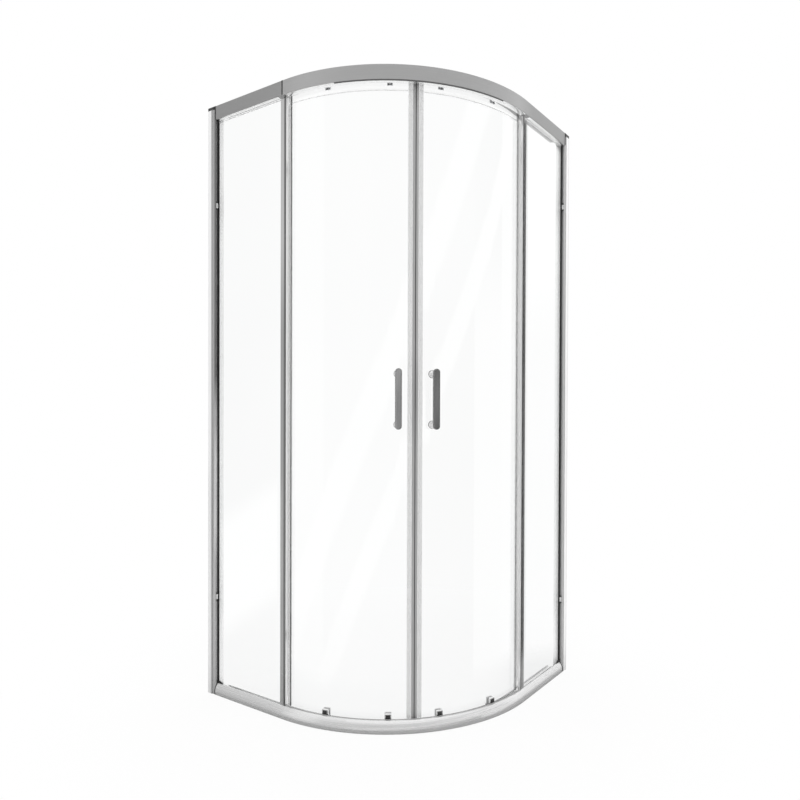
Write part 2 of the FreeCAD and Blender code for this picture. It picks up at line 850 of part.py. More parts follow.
def glass_drill(name, turn, height, radius):
    """Round bar through the door pane, square to its face."""
    body = arc_body(name, turn)
    bar = ("0", height, radius)
    pad(body, "YZ_Plane", [bar], "door_inner - cut_overrun", "glass_thick + 2 * cut_overrun")
    return body


def door_glass():
    """Bent pane with holes for four rollers and two handle posts."""
    pane = arc_body("left_pane", "glass_start")
    section = rectangle("door_inner", "door_radius", "door_bottom", "door_top")
    bend(pane, [section], "glass_end - glass_start")
    drills = [
        glass_drill(f"drill_{name}_{level}", turn, f"{level}_roller_height", "glass_hole_radius")
        for name, turn in ROLLER_TURNS.items()
        for level in ("top", "bottom")
    ]
    drills += [
        glass_drill(f"drill_post_{name}", "handle_turn", height, "stud_hole_radius")
        for name, height in post_heights().items()
    ]
    cut = doc.addObject("Part::Cut", "left_door_glass")
    cut.Label = "left_door_glass"
    cut.Base = pane
    cut.Tool = group("left_drills", drills)
    return cut


def post_heights():
    return {
        "upper": "handle_height + post_spacing / 2",
        "lower": "handle_height - post_spacing / 2",
    }


def edge_legs():
    """Sections of the two legs that grip the door pane's faces."""
    outer = rectangle("leg_outer", "strip_outer", "strip_bottom", "strip_top")
    inner = rectangle("strip_inner", "leg_inner", "strip_bottom", "strip_top")
    return [outer, inner]


def magnet_carrier():
    """Clear strip on the leading edge that carries the magnet."""
    body = arc_body("left_magnet_carrier", "glass_end")
    web = rectangle("strip_inner", "strip_outer", "strip_bottom", "strip_top")
    bend(body, [web], "carrier_web * turn_per_run")
    bend(body, edge_legs(), "carrier_grip * turn_per_run", backwards=True)
    return body


def magnet_strip():
    body = arc_body("left_magnet_strip", "magnet_start")
    bar = rectangle("strip_inner", "strip_outer", "strip_bottom", "strip_top")
    bend(body, [bar], "magnet_width * turn_per_run")
    return body


def trailing_strip():
    """Strip on the trailing edge, hooked outwards to meet the fixed pane's seal."""
    body = arc_body("left_trailing_strip", "glass_start")
    hook = "corner_radius - edge_rear - hook_clear"
    web = rectangle("strip_inner", hook, "strip_bottom", "strip_top")
    bend(body, [web], "trailing_web * turn_per_run", backwards=True)
    bend(body, edge_legs(), "trailing_grip * turn_per_run")
    return body


def drip_seal():
    """Strip under the pane in three lengths, broken where the rollers stand."""
    section = [
        ("strip_inner", "door_bottom - drip_web"),
        ("leg_outer", "door_bottom - drip_web"),
        ("leg_outer", "door_bottom - drip_drop"),
        ("strip_outer", "door_bottom - drip_drop"),
        ("strip_outer", "door_bottom + drip_leg"),
        ("leg_outer", "door_bottom + drip_leg"),
        ("leg_outer", "door_bottom"),
        ("leg_inner", "door_bottom"),
        ("leg_inner", "door_bottom + drip_leg"),
        ("strip_inner", "door_bottom + drip_leg"),
    ]
    spans = {
        "rear": ("glass_start + trailing_grip * turn_per_run", "trailing_turn - drip_gap"),
        "middle": ("trailing_turn + drip_gap", "leading_turn - drip_gap"),
        "front": ("leading_turn + drip_gap", "glass_end - carrier_grip * turn_per_run"),
    }
    lengths = []
    for name, (start, end) in spans.items():
        body = arc_body(f"drip_{name}", start)
        bend(body, [section], f"{end} - ({start})")
        lengths.append(body)
    return group("left_drip_seal", lengths)


def roller_cap(name, turn):
    """Bright square block outside the pane, with its adjuster sunk in the face."""
    body = arc_body(f"cap_{name}", turn)
    front = "door_radius + roller_cap_thick"
    middle = "top_roller_height + roller_cap_rise"
    square = rounded_square("block_size", middle, "block_round")
    pad(body, "YZ_Plane", [square], "door_radius", "roller_cap_thick")
    soften(body, "roller_cap_round", lies_at("X", front))
    pad(body, "YZ_Plane", [("0", "top_roller_height", "stem_radius")], "door_inner", "glass_thick")
    sink = ("0", middle, "adjuster_radius")
    pocket(body, "YZ_Plane", [sink], f"{front} + cut_overrun", "adjuster_sink + cut_overrun")
    return body


def hanger_bracket(name, turn):
    """Plate inside the pane that rises to the top roller's axle, on a square nut block."""
    body = arc_body(f"bracket_{name}", turn)
    low = "top_roller_height - block_size / 2"
    plate = [
        ("-bracket_half_width", low),
        ("bracket_half_width", low),
        ("bracket_half_width", "top_axle_height", "bracket_half_width"),
        ("0", "top_axle_height + bracket_half_width", "bracket_half_width"),
        ("-bracket_half_width", "top_axle_height"),
    ]
    pad(body, "YZ_Plane", [plate], "plate_inner", "bracket_thick")
    square = rounded_square("nut_block_size", "top_roller_height", "block_round")
    pad(body, "YZ_Plane", [square], "plate_outer - nut_block_thick", "nut_block_thick")
    pin = ("0", "top_axle_height", "axle_pin_radius + axle_fit")
    pocket(body, "YZ_Plane", [pin], "plate_outer + cut_overrun", "bracket_thick + 2 * cut_overrun")
    return body


def guide_bezel(name, turn):
    """Bright square frame outside the pane round the release button."""
    body = arc_body(f"bezel_{name}", turn)
    front = "door_radius + bezel_thick"
    square = rounded_square("block_size", "bottom_roller_height", "block_round")
    pad(body, "YZ_Plane", [square], "door_radius", "bezel_thick")
    soften(body, "roller_cap_round", lies_at("X", front))
    pad(body, "YZ_Plane", [("0", "bottom_roller_height", "stem_radius")], "door_inner", "glass_thick")
    well = rounded_square("well_size", "bottom_roller_height", "button_round")
    over = f"{front} + cut_overrun"
    pocket(body, "YZ_Plane", [well], over, "bezel_thick - bezel_base + cut_overrun")
    bore = ("0", "bottom_roller_height", "button_stem_radius + button_clear")
    pocket(body, "YZ_Plane", [bore], over, "bezel_thick + glass_thick + 2 * cut_overrun")
    return body


def release_button(name, turn):
    """Dark square button whose stem runs through the pane to free the roller."""
    body = arc_body(f"left_button_{name}", turn)
    square = rounded_square("(well_size - 2 * button_clear)", "bottom_roller_height", "button_round")
    pad(body, "YZ_Plane", [square], "button_back", "button_thick")
    soften(body, "button_round", lies_at("X", "button_back + button_thick"))
    stem_end = "plate_outer - nut_block_thick + button_travel"
    stem = ("0", "bottom_roller_height", "button_stem_radius")
    pad(body, "YZ_Plane", [stem], stem_end, f"button_back - ({stem_end})")
    return body


def guide_housing(name, turn):
    """Block inside the pane with a leg down to the bottom roller's axle."""
    body = arc_body(f"housing_{name}", turn)
    square = rounded_square("block_size", "bottom_roller_height", "block_round")
    pad(body, "YZ_Plane", [square], "plate_outer - nut_block_thick", "nut_block_thick")
    leg = [
        ("-bracket_half_width", "bottom_axle_height", "bracket_half_width"),
        ("0", "bottom_axle_height - bracket_half_width", "bracket_half_width"),
        ("bracket_half_width", "bottom_axle_height"),
        ("bracket_half_width", "bottom_roller_height"),
        ("-bracket_half_width", "bottom_roller_height"),
    ]
    pad(body, "YZ_Plane", [leg], "plate_inner", "bracket_thick")
    over = "plate_outer + cut_overrun"
    pin = ("0", "bottom_axle_height", "axle_pin_radius + axle_fit")
    pocket(body, "YZ_Plane", [pin], over, "bracket_thick + 2 * cut_overrun")
    bore = ("0", "bottom_roller_height", "button_stem_radius + button_clear")
    pocket(body, "YZ_Plane", [bore], over, "nut_block_thick + 2 * cut_overrun")
    return body


def roller_axle(name, turn, height):
    """Stepped pin: riveted in the plate, shouldered, then a journal with a head."""
    body = arc_body(f"axle_{name}", turn)
    journal_end = "wheel_inner - axle_end_clear"
    journal_start = "wheel_outer + axle_end_clear"
    section = [
        ("head_inner", "0"),
        ("plate_outer", "0"),
        ("plate_outer", "axle_pin_radius"),
        ("plate_inner", "axle_pin_radius"),
        ("plate_inner", "axle_shoulder_radius"),
        (journal_start, "axle_shoulder_radius"),
        (journal_start, "axle_journal_radius"),
        (journal_end, "axle_journal_radius"),
        (journal_end, "axle_head_radius"),
        ("head_inner", "axle_head_radius"),
    ]
    turn_round(body, section, height)
    return body


def wheel(label, turn, height, radius):
    body = arc_body(label, turn)
    bore = "axle_journal_radius + bore_clear"
    section = [
        ("wheel_inner", bore),
        ("wheel_outer", bore),
        ("wheel_outer", f"{radius} - wheel_chamfer"),
        ("wheel_outer - wheel_chamfer", radius),
        ("wheel_inner + wheel_chamfer", radius),
        ("wheel_inner", f"{radius} - wheel_chamfer"),
    ]
    turn_round(body, section, height)
    return body


def handle_bar():
    """Flat upright bar with full round ends and softened edges."""
    body = arc_body("left_handle_bar", "handle_turn")
    low, high = "handle_height - handle_length / 2", "handle_height + handle_length / 2"
    half = "handle_half_width"
    outline = [
        ("0", low, half),
        (half, f"{low} + {half}"),
        (half, f"{high} - {half}", half),
        ("0", high, half),
        (f"-{half}", f"{high} - {half}"),
        (f"-{half}", f"{low} + {half}", half),
    ]
    pad(body, "YZ_Plane", [outline], "bar_radius", "handle_thick")
    soften(body, "handle_round", lies_at("X", "bar_radius + handle_thick"))
    return body


def handle_post(name, height):
    """Round post with a rosette on the pane and a stud through it."""
    body = arc_body(f"post_{name}", "handle_turn")
    section = [
        ("plate_outer", "0"),
        ("bar_radius", "0"),
        ("bar_radius", "post_radius"),
        ("door_radius + rosette_thick", "post_radius"),
        ("door_radius + rosette_thick", "rosette_radius"),
        ("door_radius", "rosette_radius"),
        ("door_radius", "stud_radius"),
        ("plate_outer", "stud_radius"),
    ]
    turn_round(body, section, height)
    return body


def handle_nut(name, height):
    """Round cap nut on the stud, inside the pane."""
    body = arc_body(f"nut_{name}", "handle_turn")
    section = [
        ("plate_outer - nut_thick", "0"),
        ("plate_outer", "0"),
        ("plate_outer", "nut_radius"),
        ("plate_outer - nut_thick + nut_chamfer", "nut_radius"),
        ("plate_outer - nut_thick", "nut_radius - nut_chamfer"),
    ]
    turn_round(body, section, height)
    return body


def for_each_roller(label, maker):
    return group(label, [maker(name, turn) for name, turn in ROLLER_TURNS.items()])


def for_each_post(label, maker):
    return group(label, [maker(name, height) for name, height in post_heights().items()])


def roller_axles():
    axles = [
        roller_axle(f"{level}_{name}", turn, f"{level}_axle_height")
        for level in ("top", "bottom")
        for name, turn in ROLLER_TURNS.items()
    ]
    return group("left_roller_axles", axles)


def wheels():
    return [
        wheel(f"left_{level}_wheel_{name}", turn, f"{level}_axle_height", f"{level}_wheel_radius")
        for level in ("top", "bottom")
        for name, turn in ROLLER_TURNS.items()
    ]


def handed_pieces():
    """Pieces of the left half that have a twin of their own on the right."""
    return [
        wall_profile(),
        jamb_profile(),
        jamb_gasket(),
        fixed_glass(),
        fixed_edge_profile(),
        fixed_edge_seal(),
        glazing_strips(),
        door_glass(),
        magnet_carrier(),
        magnet_strip(),
        trailing_strip(),
        drip_seal(),
        for_each_roller("left_roller_caps", roller_cap),
        for_each_roller("left_hanger_brackets", hanger_bracket),
        for_each_roller("left_guide_bezels", guide_bezel),
        for_each_roller("left_guide_housings", guide_housing),
        roller_axles(),
        handle_bar(),
        for_each_post("left_handle_posts", handle_post),
        for_each_post("left_handle_nuts", handle_nut),
        *wheels(),
        *[release_button(name, turn) for name, turn in ROLLER_TURNS.items()],
    ]


def paired_pieces():
    """Small pieces of the frame, kept with their twins in one group each."""
    pairs = {
        "wall_caps": wall_cap(),
        "rail_end_seals": rail_end_seals(),
        "rail_end_blocks": rail_end_blocks(),
        "rail_screws": rail_screws(),
        "door_stops": door_stop(),
    }
    clips = [jamb_clips("left"), mirrored("jamb_clips_twin", jamb_clips("right"))]
    groups = [group(label, [left, mirrored(f"{label}_twin", left)]) for label, left in pairs.items()]
    return [group("jamb_clips", clips), *groups]


parts = [top_rail(), bottom_rail(), *paired_pieces()]
for left in handed_pieces():
    parts += [left, mirrored(left.Label.replace("left_", "right_", 1), left)]
doc.recompute()

for item in doc.Objects:
    if "Invalid" in item.State or "Error" in item.State:
        raise RuntimeError(f"{item.Label} failed: {item.State}")
for part in parts:
    if part.Shape.isNull() or not part.Shape.isValid() or not part.Shape.Solids:
        raise RuntimeError(f"{part.Label} has no valid shape")

os.makedirs("parts", exist_ok=True)
for part in parts:
    part.Shape.exportStep(f"parts/{part.Label}.step")
print(f"{len(parts)} nodes, {sum(len(part.Shape.Solids) for part in parts)} solids")
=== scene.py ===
# %% [markdown]
# # A quadrant shower enclosure
# Two flat panes stand against two walls, and two bent doors slide round the corner
# between them. The construction model gives every solid its place in metres, so this
# lesson keeps those solids, gives each a finish, and adds the small things that a
# drawing leaves out. Loading comes first, because all later places are read from it.

# %% Load the frame
import math
import bmesh
import bpy
from mathutils import Matrix, Vector


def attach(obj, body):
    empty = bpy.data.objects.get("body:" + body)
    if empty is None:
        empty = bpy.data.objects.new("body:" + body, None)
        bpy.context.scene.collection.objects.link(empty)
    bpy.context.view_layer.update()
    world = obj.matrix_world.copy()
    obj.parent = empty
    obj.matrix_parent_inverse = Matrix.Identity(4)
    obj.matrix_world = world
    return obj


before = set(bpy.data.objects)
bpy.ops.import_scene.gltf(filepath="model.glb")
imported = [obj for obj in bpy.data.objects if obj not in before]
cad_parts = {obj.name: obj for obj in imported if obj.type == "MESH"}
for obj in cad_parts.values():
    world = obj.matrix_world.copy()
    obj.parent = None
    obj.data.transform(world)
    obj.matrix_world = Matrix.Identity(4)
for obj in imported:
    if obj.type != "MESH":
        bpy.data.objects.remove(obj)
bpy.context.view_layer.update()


# %% [markdown]
# ## The camera
# The photograph was taken from chest height, a little right of the corner. Its place
# and lens can be guessed by eye or solved from points whose real place is known. They
# were solved from the rails' outlines, so the camera is built from its turn, its slight
# tilt and its lens, and the two small shifts put the picture's centre where it was.

# %% Camera
camera_turn = math.radians(35.137)
camera_tilt = math.radians(-0.616)
camera_roll = math.radians(0.201)
camera_place = Vector((1.4259, -1.9389, 0.94275))

backward = Vector((math.sin(camera_turn), -math.cos(camera_turn), 0.0))
rightward = Vector((math.cos(camera_turn), math.sin(camera_turn), 0.0))
forward = -backward * math.cos(camera_tilt) + Vector((0.0, 0.0, math.sin(camera_tilt)))
upward = rightward.cross(forward)
rolled_right = rightward * math.cos(camera_roll) + upward * math.sin(camera_roll)
rolled_up = upward * math.cos(camera_roll) - rightward * math.sin(camera_roll)

camera_turns = Matrix((rolled_right, rolled_up, -forward)).transposed()
camera_data = bpy.data.cameras.new("photo_camera")
camera_data.lens = 30.935
camera_data.sensor_width = 36.0
camera_data.shift_x = -0.01283
camera_data.shift_y = 0.02452
camera_data.clip_end = 100.0
camera = bpy.data.objects.new("photo_camera", camera_data)
camera.matrix_world = Matrix.Translation(camera_place) @ camera_turns.to_4x4()
bpy.context.scene.collection.objects.link(camera)
bpy.context.scene.camera = camera
print("camera", [round(value, 3) for value in camera_place], "lens", camera_data.lens)

# %% [markdown]
# ## A helper for nodes
# The studio, the finishes and the small trim are all built from nodes, and a node is
# always made in the same moves: it is added, its settings are chosen, and each input gets
# a value or a link. In the editor that is done by hand. One helper does it here, so that
# the lines further down say only what a node is and what goes into it.

# %% Node helpers
def add_node(tree, kind, inputs=None, **settings):
    node = tree.nodes.new(kind)
    for name, value in settings.items():
        setattr(node, name, value)
    for name, value in (inputs or {}).items():
        if isinstance(value, bpy.types.NodeSocket):
            tree.links.new(value, node.inputs[name])
        else:
            node.inputs[name].default_value = value
    return node


def add_math(tree, operation, *values, clamp=False):
    inputs = dict(enumerate(values))
    node = add_node(tree, "ShaderNodeMath", inputs, operation=operation, use_clamp=clamp)
    return node.outputs[0]


def add_step(tree, value, low, high, to=(0.0, 1.0), shape="SMOOTHSTEP"):
    inputs = {"Value": value, "From Min": low, "From Max": high, "To Min": to[0], "To Max": to[1]}
    return add_node(tree, "ShaderNodeMapRange", inputs, interpolation_type=shape).outputs[0]


def grey(value):
    return (value, value, value)


print("node helpers", add_node.__name__, add_math.__name__, add_step.__name__)

# %% [markdown]
# ## The white studio
# The object stands in front of plain white. A lit backdrop would do it, but white paint
# needs a lot of light. Here the surroundings answer each kind of ray by itself: the eye,
# straight or through glass, meets white, soft light comes from an even grey room, and
# reflections meet tall cards of light and dark, as a photographer sets round bright metal.
# Two angles place a card: its bearing, counted in degrees from straight ahead of the left
# pane and growing to the right, and its height above the horizon.

# %% World nodes
world = bpy.data.worlds.new("white_studio")
world.use_nodes = True
bpy.context.scene.world = world
sky = world.node_tree
sky.nodes.clear()


def sky_math(operation, *values):
    return add_math(sky, operation, *values)


def sky_step(value, low, high):
    return add_step(sky, value, low, high)


def sky_blend(share, first, second):
    change = sky_math("SUBTRACT", second, first)
    return sky_math("ADD", first, sky_math("MULTIPLY", share, change))


gaze = add_node(sky, "ShaderNodeTexCoord").outputs["Generated"]
across, along, rise = add_node(sky, "ShaderNodeSeparateXYZ", {"Vector": gaze}).outputs
bearing = sky_math("DEGREES", sky_math("ARCTAN2", across, sky_math("MULTIPLY", along, -1.0)))
height = sky_math("DEGREES", sky_math("ARCSINE", rise))
print("world nodes so far", len(sky.nodes))

# %% [markdown]
# ## Cards of light and dark
# Metal looks like what it mirrors, so the cards decide how the rails and posts read. They
# could be modelled as lit panels, but a colour ramp over the bearing holds them all. Each
# row below is one card: the bearing where it ends, its grey above eye level, and its grey
# below it.

# %% Cards
card_rows = (
    (-100.0, 1.20, 1.20), (-64.0, 0.50, 0.70), (-40.0, 0.53, 0.36), (-15.0, 0.95, 0.95),
    (22.0, 0.60, 0.60), (56.0, 0.55, 0.55), (104.0, 0.60, 0.26), (131.7, 0.50, 0.95),
    (147.0, 1.05, 1.05), (180.0, 1.20, 0.95))
full_turn = 360.0
ramp_middle = 0.5


def card_row(cards, soft=0.08):
    turn = sky_math("ADD", sky_math("DIVIDE", bearing, full_turn), ramp_middle)
    row = add_node(sky, "ShaderNodeValToRGB", {"Fac": turn})
    steps = row.color_ramp.elements
    for step, position, (_, level) in zip(steps, (0.0, 1.0), (cards[0], cards[-1])):
        step.position = position
        step.color = (*grey(level), 1.0)
    for (edge, level), (_, following) in zip(cards, cards[1:]):
        for shift, value in ((-soft, level), (soft, following)):
            step = steps.new((edge + shift) / full_turn + ramp_middle)
            step.color = (*grey(value), 1.0)
    return row.outputs["Color"]


upper_cards = [(edge, upper) for edge, upper, _ in card_rows]
lower_cards = [(edge, lower) for edge, _, lower in card_rows]
above_eye = sky_step(height, 5.0, 15.0)
cards_seen = sky_blend(above_eye, card_row(lower_cards), card_row(upper_cards))
print("cards", len(upper_cards) + len(lower_cards))

# %% [markdown]
# ## Sheets and one slim card
# A bright sheet hangs over everything, a brighter one hangs high at the right, and pale
# ground lies below. A slim dark card far round to the right is what the right post mirrors
# as a fine dark line. A ramp of 256 steps is too coarse for it, so it has its own edges.

# %% Sheets and slim card
slim_card = sky_math(
    "MULTIPLY", sky_step(bearing, 152.6, 153.0), sky_step(bearing, 154.56, 154.40))
overhead_sheet = sky_step(height, 26.0, 46.0)
right_sheet = sky_math(
    "MULTIPLY", sky_step(bearing, 110.0, 140.0), sky_step(height, 42.0, 58.0))
pale_ground = sky_step(height, -20.0, -50.0)
sheets = ((slim_card, 0.03), (overhead_sheet, 1.08), (right_sheet, 1.9), (pale_ground, 1.0))
for share, level in sheets:
    cards_seen = sky_blend(share, cards_seen, level)
print("sheets and slim card", len(sheets))

# %% [markdown]
# ## Slanted bands
# Faint diagonal streaks lie across the panes, as windows leave them in glass. Painting
# them on the glass would fix them there, so bands that lean with height cross the cards
# instead. One band belongs to the left pane alone and two to the doors, and the limits
# keep each out of the bearings that the other panes mirror.

# %% Bands
def slanted_band(middle, lean, half_width, soft):
    centre = sky_math("ADD", middle, sky_math("MULTIPLY", height, lean))
    offset = sky_math("ABSOLUTE", sky_math("SUBTRACT", bearing, centre))
    return sky_step(offset, half_width + soft, half_width)


band_share = 0.8
band_grey = 1.3
left_pane_only = sky_step(bearing, -45.95, -46.15)
doors_only = sky_step(bearing, -45.35, -44.8)
bands = (
    (left_pane_only, slanted_band(middle=-29.6, lean=1.6, half_width=5.0, soft=4.0)),
    (doors_only, slanted_band(middle=20.6, lean=3.6, half_width=8.0, soft=6.0)),
    (doors_only, slanted_band(middle=64.0, lean=3.6, half_width=5.0, soft=5.0)))
for limit, band in bands:
    share = sky_math("MULTIPLY", sky_math("MULTIPLY", band, limit), band_share)
    cards_seen = sky_blend(share, cards_seen, band_grey)
print("bands", len(bands))

# %% [markdown]
# ## What each ray meets
# Blender tells what kind of ray asks. A ray from the eye, also one that has passed through
# glass, gets plain white. A reflected ray gets the cards. All others only carry light, and
# they get the even grey of the room.

# %% World answer
room_level = 0.8
ray_kind = add_node(sky, "ShaderNodeLightPath").outputs
seen_white = sky_math("MAXIMUM", ray_kind["Is Camera Ray"], ray_kind["Is Transmission Ray"])
answer = sky_blend(ray_kind["Is Glossy Ray"], room_level, cards_seen)
answer = sky_blend(seen_white, answer, 1.0)
studio = add_node(sky, "ShaderNodeBackground", {"Color": answer, "Strength": 1.0})
add_node(sky, "ShaderNodeOutputWorld", {"Surface": studio.outputs[0]})
print("world nodes", len(sky.nodes))

# %% [markdown]
# ## The floor
# A pale floor catches the soft shadow under the sill. A backdrop that bends up behind the
# object would serve too, but then its bend shows through the panes. A plain large sheet is
# enough here, a hair below the object so that the two never lie in one plane.

# %% Floor sheet
floor_half = 14.0
floor_drop = -0.0005
floor_corners = ((-1, -1), (1, -1), (1, 1), (-1, 1))
floor_mesh = bpy.data.meshes.new("studio_floor")
floor_mesh.from_pydata(
    [(x * floor_half, y * floor_half, floor_drop) for x, y in floor_corners], [], [(0, 1, 2, 3)])
floor = bpy.data.objects.new("studio_floor", floor_mesh)
bpy.context.scene.collection.objects.link(floor)
print("floor", floor.name, "half width", floor_half)

# %% [markdown]
# ## Floor paint for the eye
# The paint is matt, with a glow for the eye alone that grows with the distance. So the
# floor runs into the white behind it without a line, and still darkens close to the sill,
# where the object keeps the light away.

# %% Floor paint for the eye
floor_paint = bpy.data.materials.new("pale_floor_paint")
floor_paint.use_nodes = True
paint = floor_paint.node_tree
paint.nodes.clear()


def paint_mix(share, first, second):
    return add_node(paint, "ShaderNodeMixShader", {"Fac": share, 1: first, 2: second}).outputs[0]


spot = add_node(paint, "ShaderNodeTexCoord").outputs["Object"]
floor_ray = add_node(paint, "ShaderNodeLightPath").outputs
matt = add_node(paint, "ShaderNodeBsdfDiffuse", {"Color": (*grey(0.93), 1.0)}).outputs[0]
glow = add_node(paint, "ShaderNodeEmission", {"Strength": 1.0}).outputs[0]
distance = add_node(paint, "ShaderNodeVectorMath", {0: spot}, operation="LENGTH")
glow_share = add_step(paint, distance.outputs["Value"], 0.6, 1.3, to=(0.92, 1.0))
eye = add_math(paint, "MAXIMUM", floor_ray["Is Camera Ray"], floor_ray["Is Transmission Ray"])
seen_floor = paint_mix(add_math(paint, "MULTIPLY", eye, glow_share), matt, glow)
print("floor nodes so far", len(paint.nodes))

# %% [markdown]
# ## Floor paint for reflections
# Reflections meet a floor painted darker close by only, a painted shadow round the sill.
# So the sill's round foot turns dark, and no horizon is drawn across the panes. The painted
# shadow is a ring about the bend's centre with soft edges, and outside it the floor lets
# the reflected ray pass.

# %% Floor paint for reflections
corner = Vector((-0.1, 0.1, 0.0))
shade = add_node(paint, "ShaderNodeBsdfDiffuse", {"Color": (*grey(0.38), 1.0)}).outputs[0]
open_floor = add_node(paint, "ShaderNodeBsdfTransparent").outputs[0]
from_bend = add_node(paint, "ShaderNodeVectorMath", {0: spot, 1: corner}, operation="DISTANCE")
inner_edge = add_step(paint, from_bend.outputs["Value"], 0.50, 0.54)
outer_edge = add_step(paint, from_bend.outputs["Value"], 0.95, 0.68)
# Painted shadow: a grey ring on the floor, met by reflected rays only.
painted_shadow_ring = add_math(paint, "MULTIPLY", inner_edge, outer_edge)
mirrored_floor = paint_mix(painted_shadow_ring, open_floor, shade)
reflected = add_math(
    paint, "SUBTRACT", floor_ray["Is Glossy Ray"], floor_ray["Is Transmission Ray"], clamp=True)
floor_surface = paint_mix(reflected, seen_floor, mirrored_floor)
add_node(paint, "ShaderNodeOutputMaterial", {"Surface": floor_surface})
floor_mesh.materials.append(floor_paint)
print("floor nodes", len(paint.nodes))

# %% [markdown]
# ## The lamps
# Three large soft lamps light the paint and the plastic: one wide lamp above and a tall
# one at each side. The cards already stand in the reflections, so the lamps themselves
# are kept out of them. Their strength is low, so that a written colour comes out about as
# it is written.

# %% Lamps
lamp_aim = Vector((0.0, 0.0, 0.9))


def soft_lamp(name, place, width, height, level):
    lamp = bpy.data.lights.new(name, "AREA")
    lamp.shape = "RECTANGLE"
    lamp.size = width
    lamp.size_y = height
    lamp.energy = level * math.pi * width * height
    holder = bpy.data.objects.new(name, lamp)
    holder.location = place
    holder.rotation_euler = (lamp_aim - Vector(place)).to_track_quat("-Z", "Y").to_euler()
    holder.visible_glossy = False
    holder.visible_transmission = False
    bpy.context.scene.collection.objects.link(holder)
    return holder


lamps = [
    soft_lamp("overhead_lamp", (0.3, -0.4, 3.6), width=2.6, height=2.6, level=1.4),
    soft_lamp("left_lamp", (-2.9, -2.3, 1.5), width=1.1, height=2.6, level=1.6),
    soft_lamp("right_lamp", (3.3, 0.6, 1.4), width=1.0, height=2.4, level=1.6),
]
print("lamps", [lamp.name for lamp in lamps])

# %% [markdown]
# ## A helper for finishes
# Every finish here is one glossy shader whose colour, roughness and fine relief are
# driven by noise. Noise that is stretched along a bar reads as drawn or brushed metal,
# and noise of one scale in all directions reads as moulded rubber. The helper takes the
# three stretch values, so that one short call makes each finish.

# %% Finish helper
SIDES = ("left", "right")
grain_low, grain_high = 0.3, 0.7


def grained_finish(name, dark, light, stretch, rough, relief, metallic=0.0):
    finish = bpy.data.materials.new(name)
    finish.use_nodes = True
    tree = finish.node_tree
    place = add_node(tree, "ShaderNodeTexCoord").outputs["Object"]
    stretched = add_node(tree, "ShaderNodeMapping", {"Vector": place, "Scale": stretch})
    noise = {"Vector": stretched.outputs[0], "Scale": 1.0, "Detail": 3.0}
    grain = add_node(tree, "ShaderNodeTexNoise", noise).outputs["Fac"]

    tint = add_node(tree, "ShaderNodeValToRGB", {"Fac": grain})
    for step, position, colour in zip(
            tint.color_ramp.elements, (grain_low, grain_high), (dark, light)):
        step.position = position
        step.color = (*colour, 1.0)
    sheen = add_step(tree, grain, grain_low, grain_high, to=rough, shape="LINEAR")
    bump = add_node(tree, "ShaderNodeBump", {"Height": grain, "Strength": 1.0, "Distance": relief})

    shader = tree.nodes["Principled BSDF"]
    shader.inputs["Metallic"].default_value = metallic
    tree.links.new(tint.outputs["Color"], shader.inputs["Base Color"])
    tree.links.new(sheen, shader.inputs["Roughness"])
    tree.links.new(bump.outputs[0], shader.inputs["Normal"])
    return finish


def both_sides(*parts):
    return [side + part for side in SIDES for part in parts]


def wear(finish, *names):
    for name in names:
        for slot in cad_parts[name].material_slots:
            slot.material = finish
    print(finish.name, "on", len(names), "nodes")


# %% [markdown]
# ## Aluminium
# The frame is extruded aluminium. The uprights show lines that run up and down, left by
# the die. The rails show lines that follow the bend, and those change only with height,
# so stretching the noise level with the floor suits the straight and the round stretches
# alike. The sill and the fascia are one aluminium in two greys, as painted light and
# shade: the sill brighter, the fascia darker.

# %% Rail finishes
drawn_up = (900.0, 900.0, 6.0)
drawn_level = (5.0, 5.0, 1100.0)
# Painted light and shade: one aluminium, darker on the fascia and brighter on the sill.
top_rail_finish = grained_finish(
    "matt_rail_aluminium", grey(0.47), grey(0.52), drawn_level,
    rough=(0.42, 0.50), relief=0.00002, metallic=0.92)
sill_finish = grained_finish(
    "satin_sill_aluminium", grey(0.78), grey(0.84), drawn_level,
    rough=(0.22, 0.30), relief=0.00002, metallic=0.7)
wear(top_rail_finish, "top_rail")
wear(sill_finish, "bottom_rail")

# %% [markdown]
# ## Zones of painted light and shade
# Light and shade fall differently on the faces of one length of metal, and here they are
# painted into its colour: pale on one face and dull on the next. Painting faces one by one
# would need the drawing's own faces, so the zones are measured instead: along the pane
# from the wall, inward from the cabin's face, and up. A test along or inward has a crisp
# edge. A test up, or over a longer run along the pane, has a soft one. A zone scales the
# colour as painted light or shade, or sets the metal, where all its tests agree.

# %% Zone helpers
half_size = 0.45
crisp, soft_run, soft_up = 0.00005, 0.05, 0.06
PANE_AXES = {
    "left": {"along": (1.0, 0.0, 0.0), "inward": (0.0, 1.0, 0.0)},
    "right": {"along": (0.0, -1.0, 0.0), "inward": (-1.0, 0.0, 0.0)}}


def zone_rule(side, name):
    if name == "up":
        return (0.0, 0.0, 1.0), 0.0, soft_up
    if name == "run":
        return PANE_AXES[side]["along"], half_size, soft_run
    return PANE_AXES[side][name], half_size, crisp


def zone_share(finish, side, amount, rest, tests):
    tree = finish.node_tree
    place = tree.nodes["Texture Coordinate"].outputs["Object"]
    share = amount
    for name, (low, high) in tests.items():
        axis, offset, soft = zone_rule(side, name)
        measure = add_node(
            tree, "ShaderNodeVectorMath", {0: place, 1: axis}, operation="DOT_PRODUCT")
        for edge, turn in ((low - offset, soft), (high - offset, -soft)):
            inside = add_step(
                tree, measure.outputs["Value"], edge - turn, edge + turn, shape="LINEAR")
            share = add_math(tree, "MULTIPLY", share, inside)
    return add_math(tree, "ADD", share, rest)
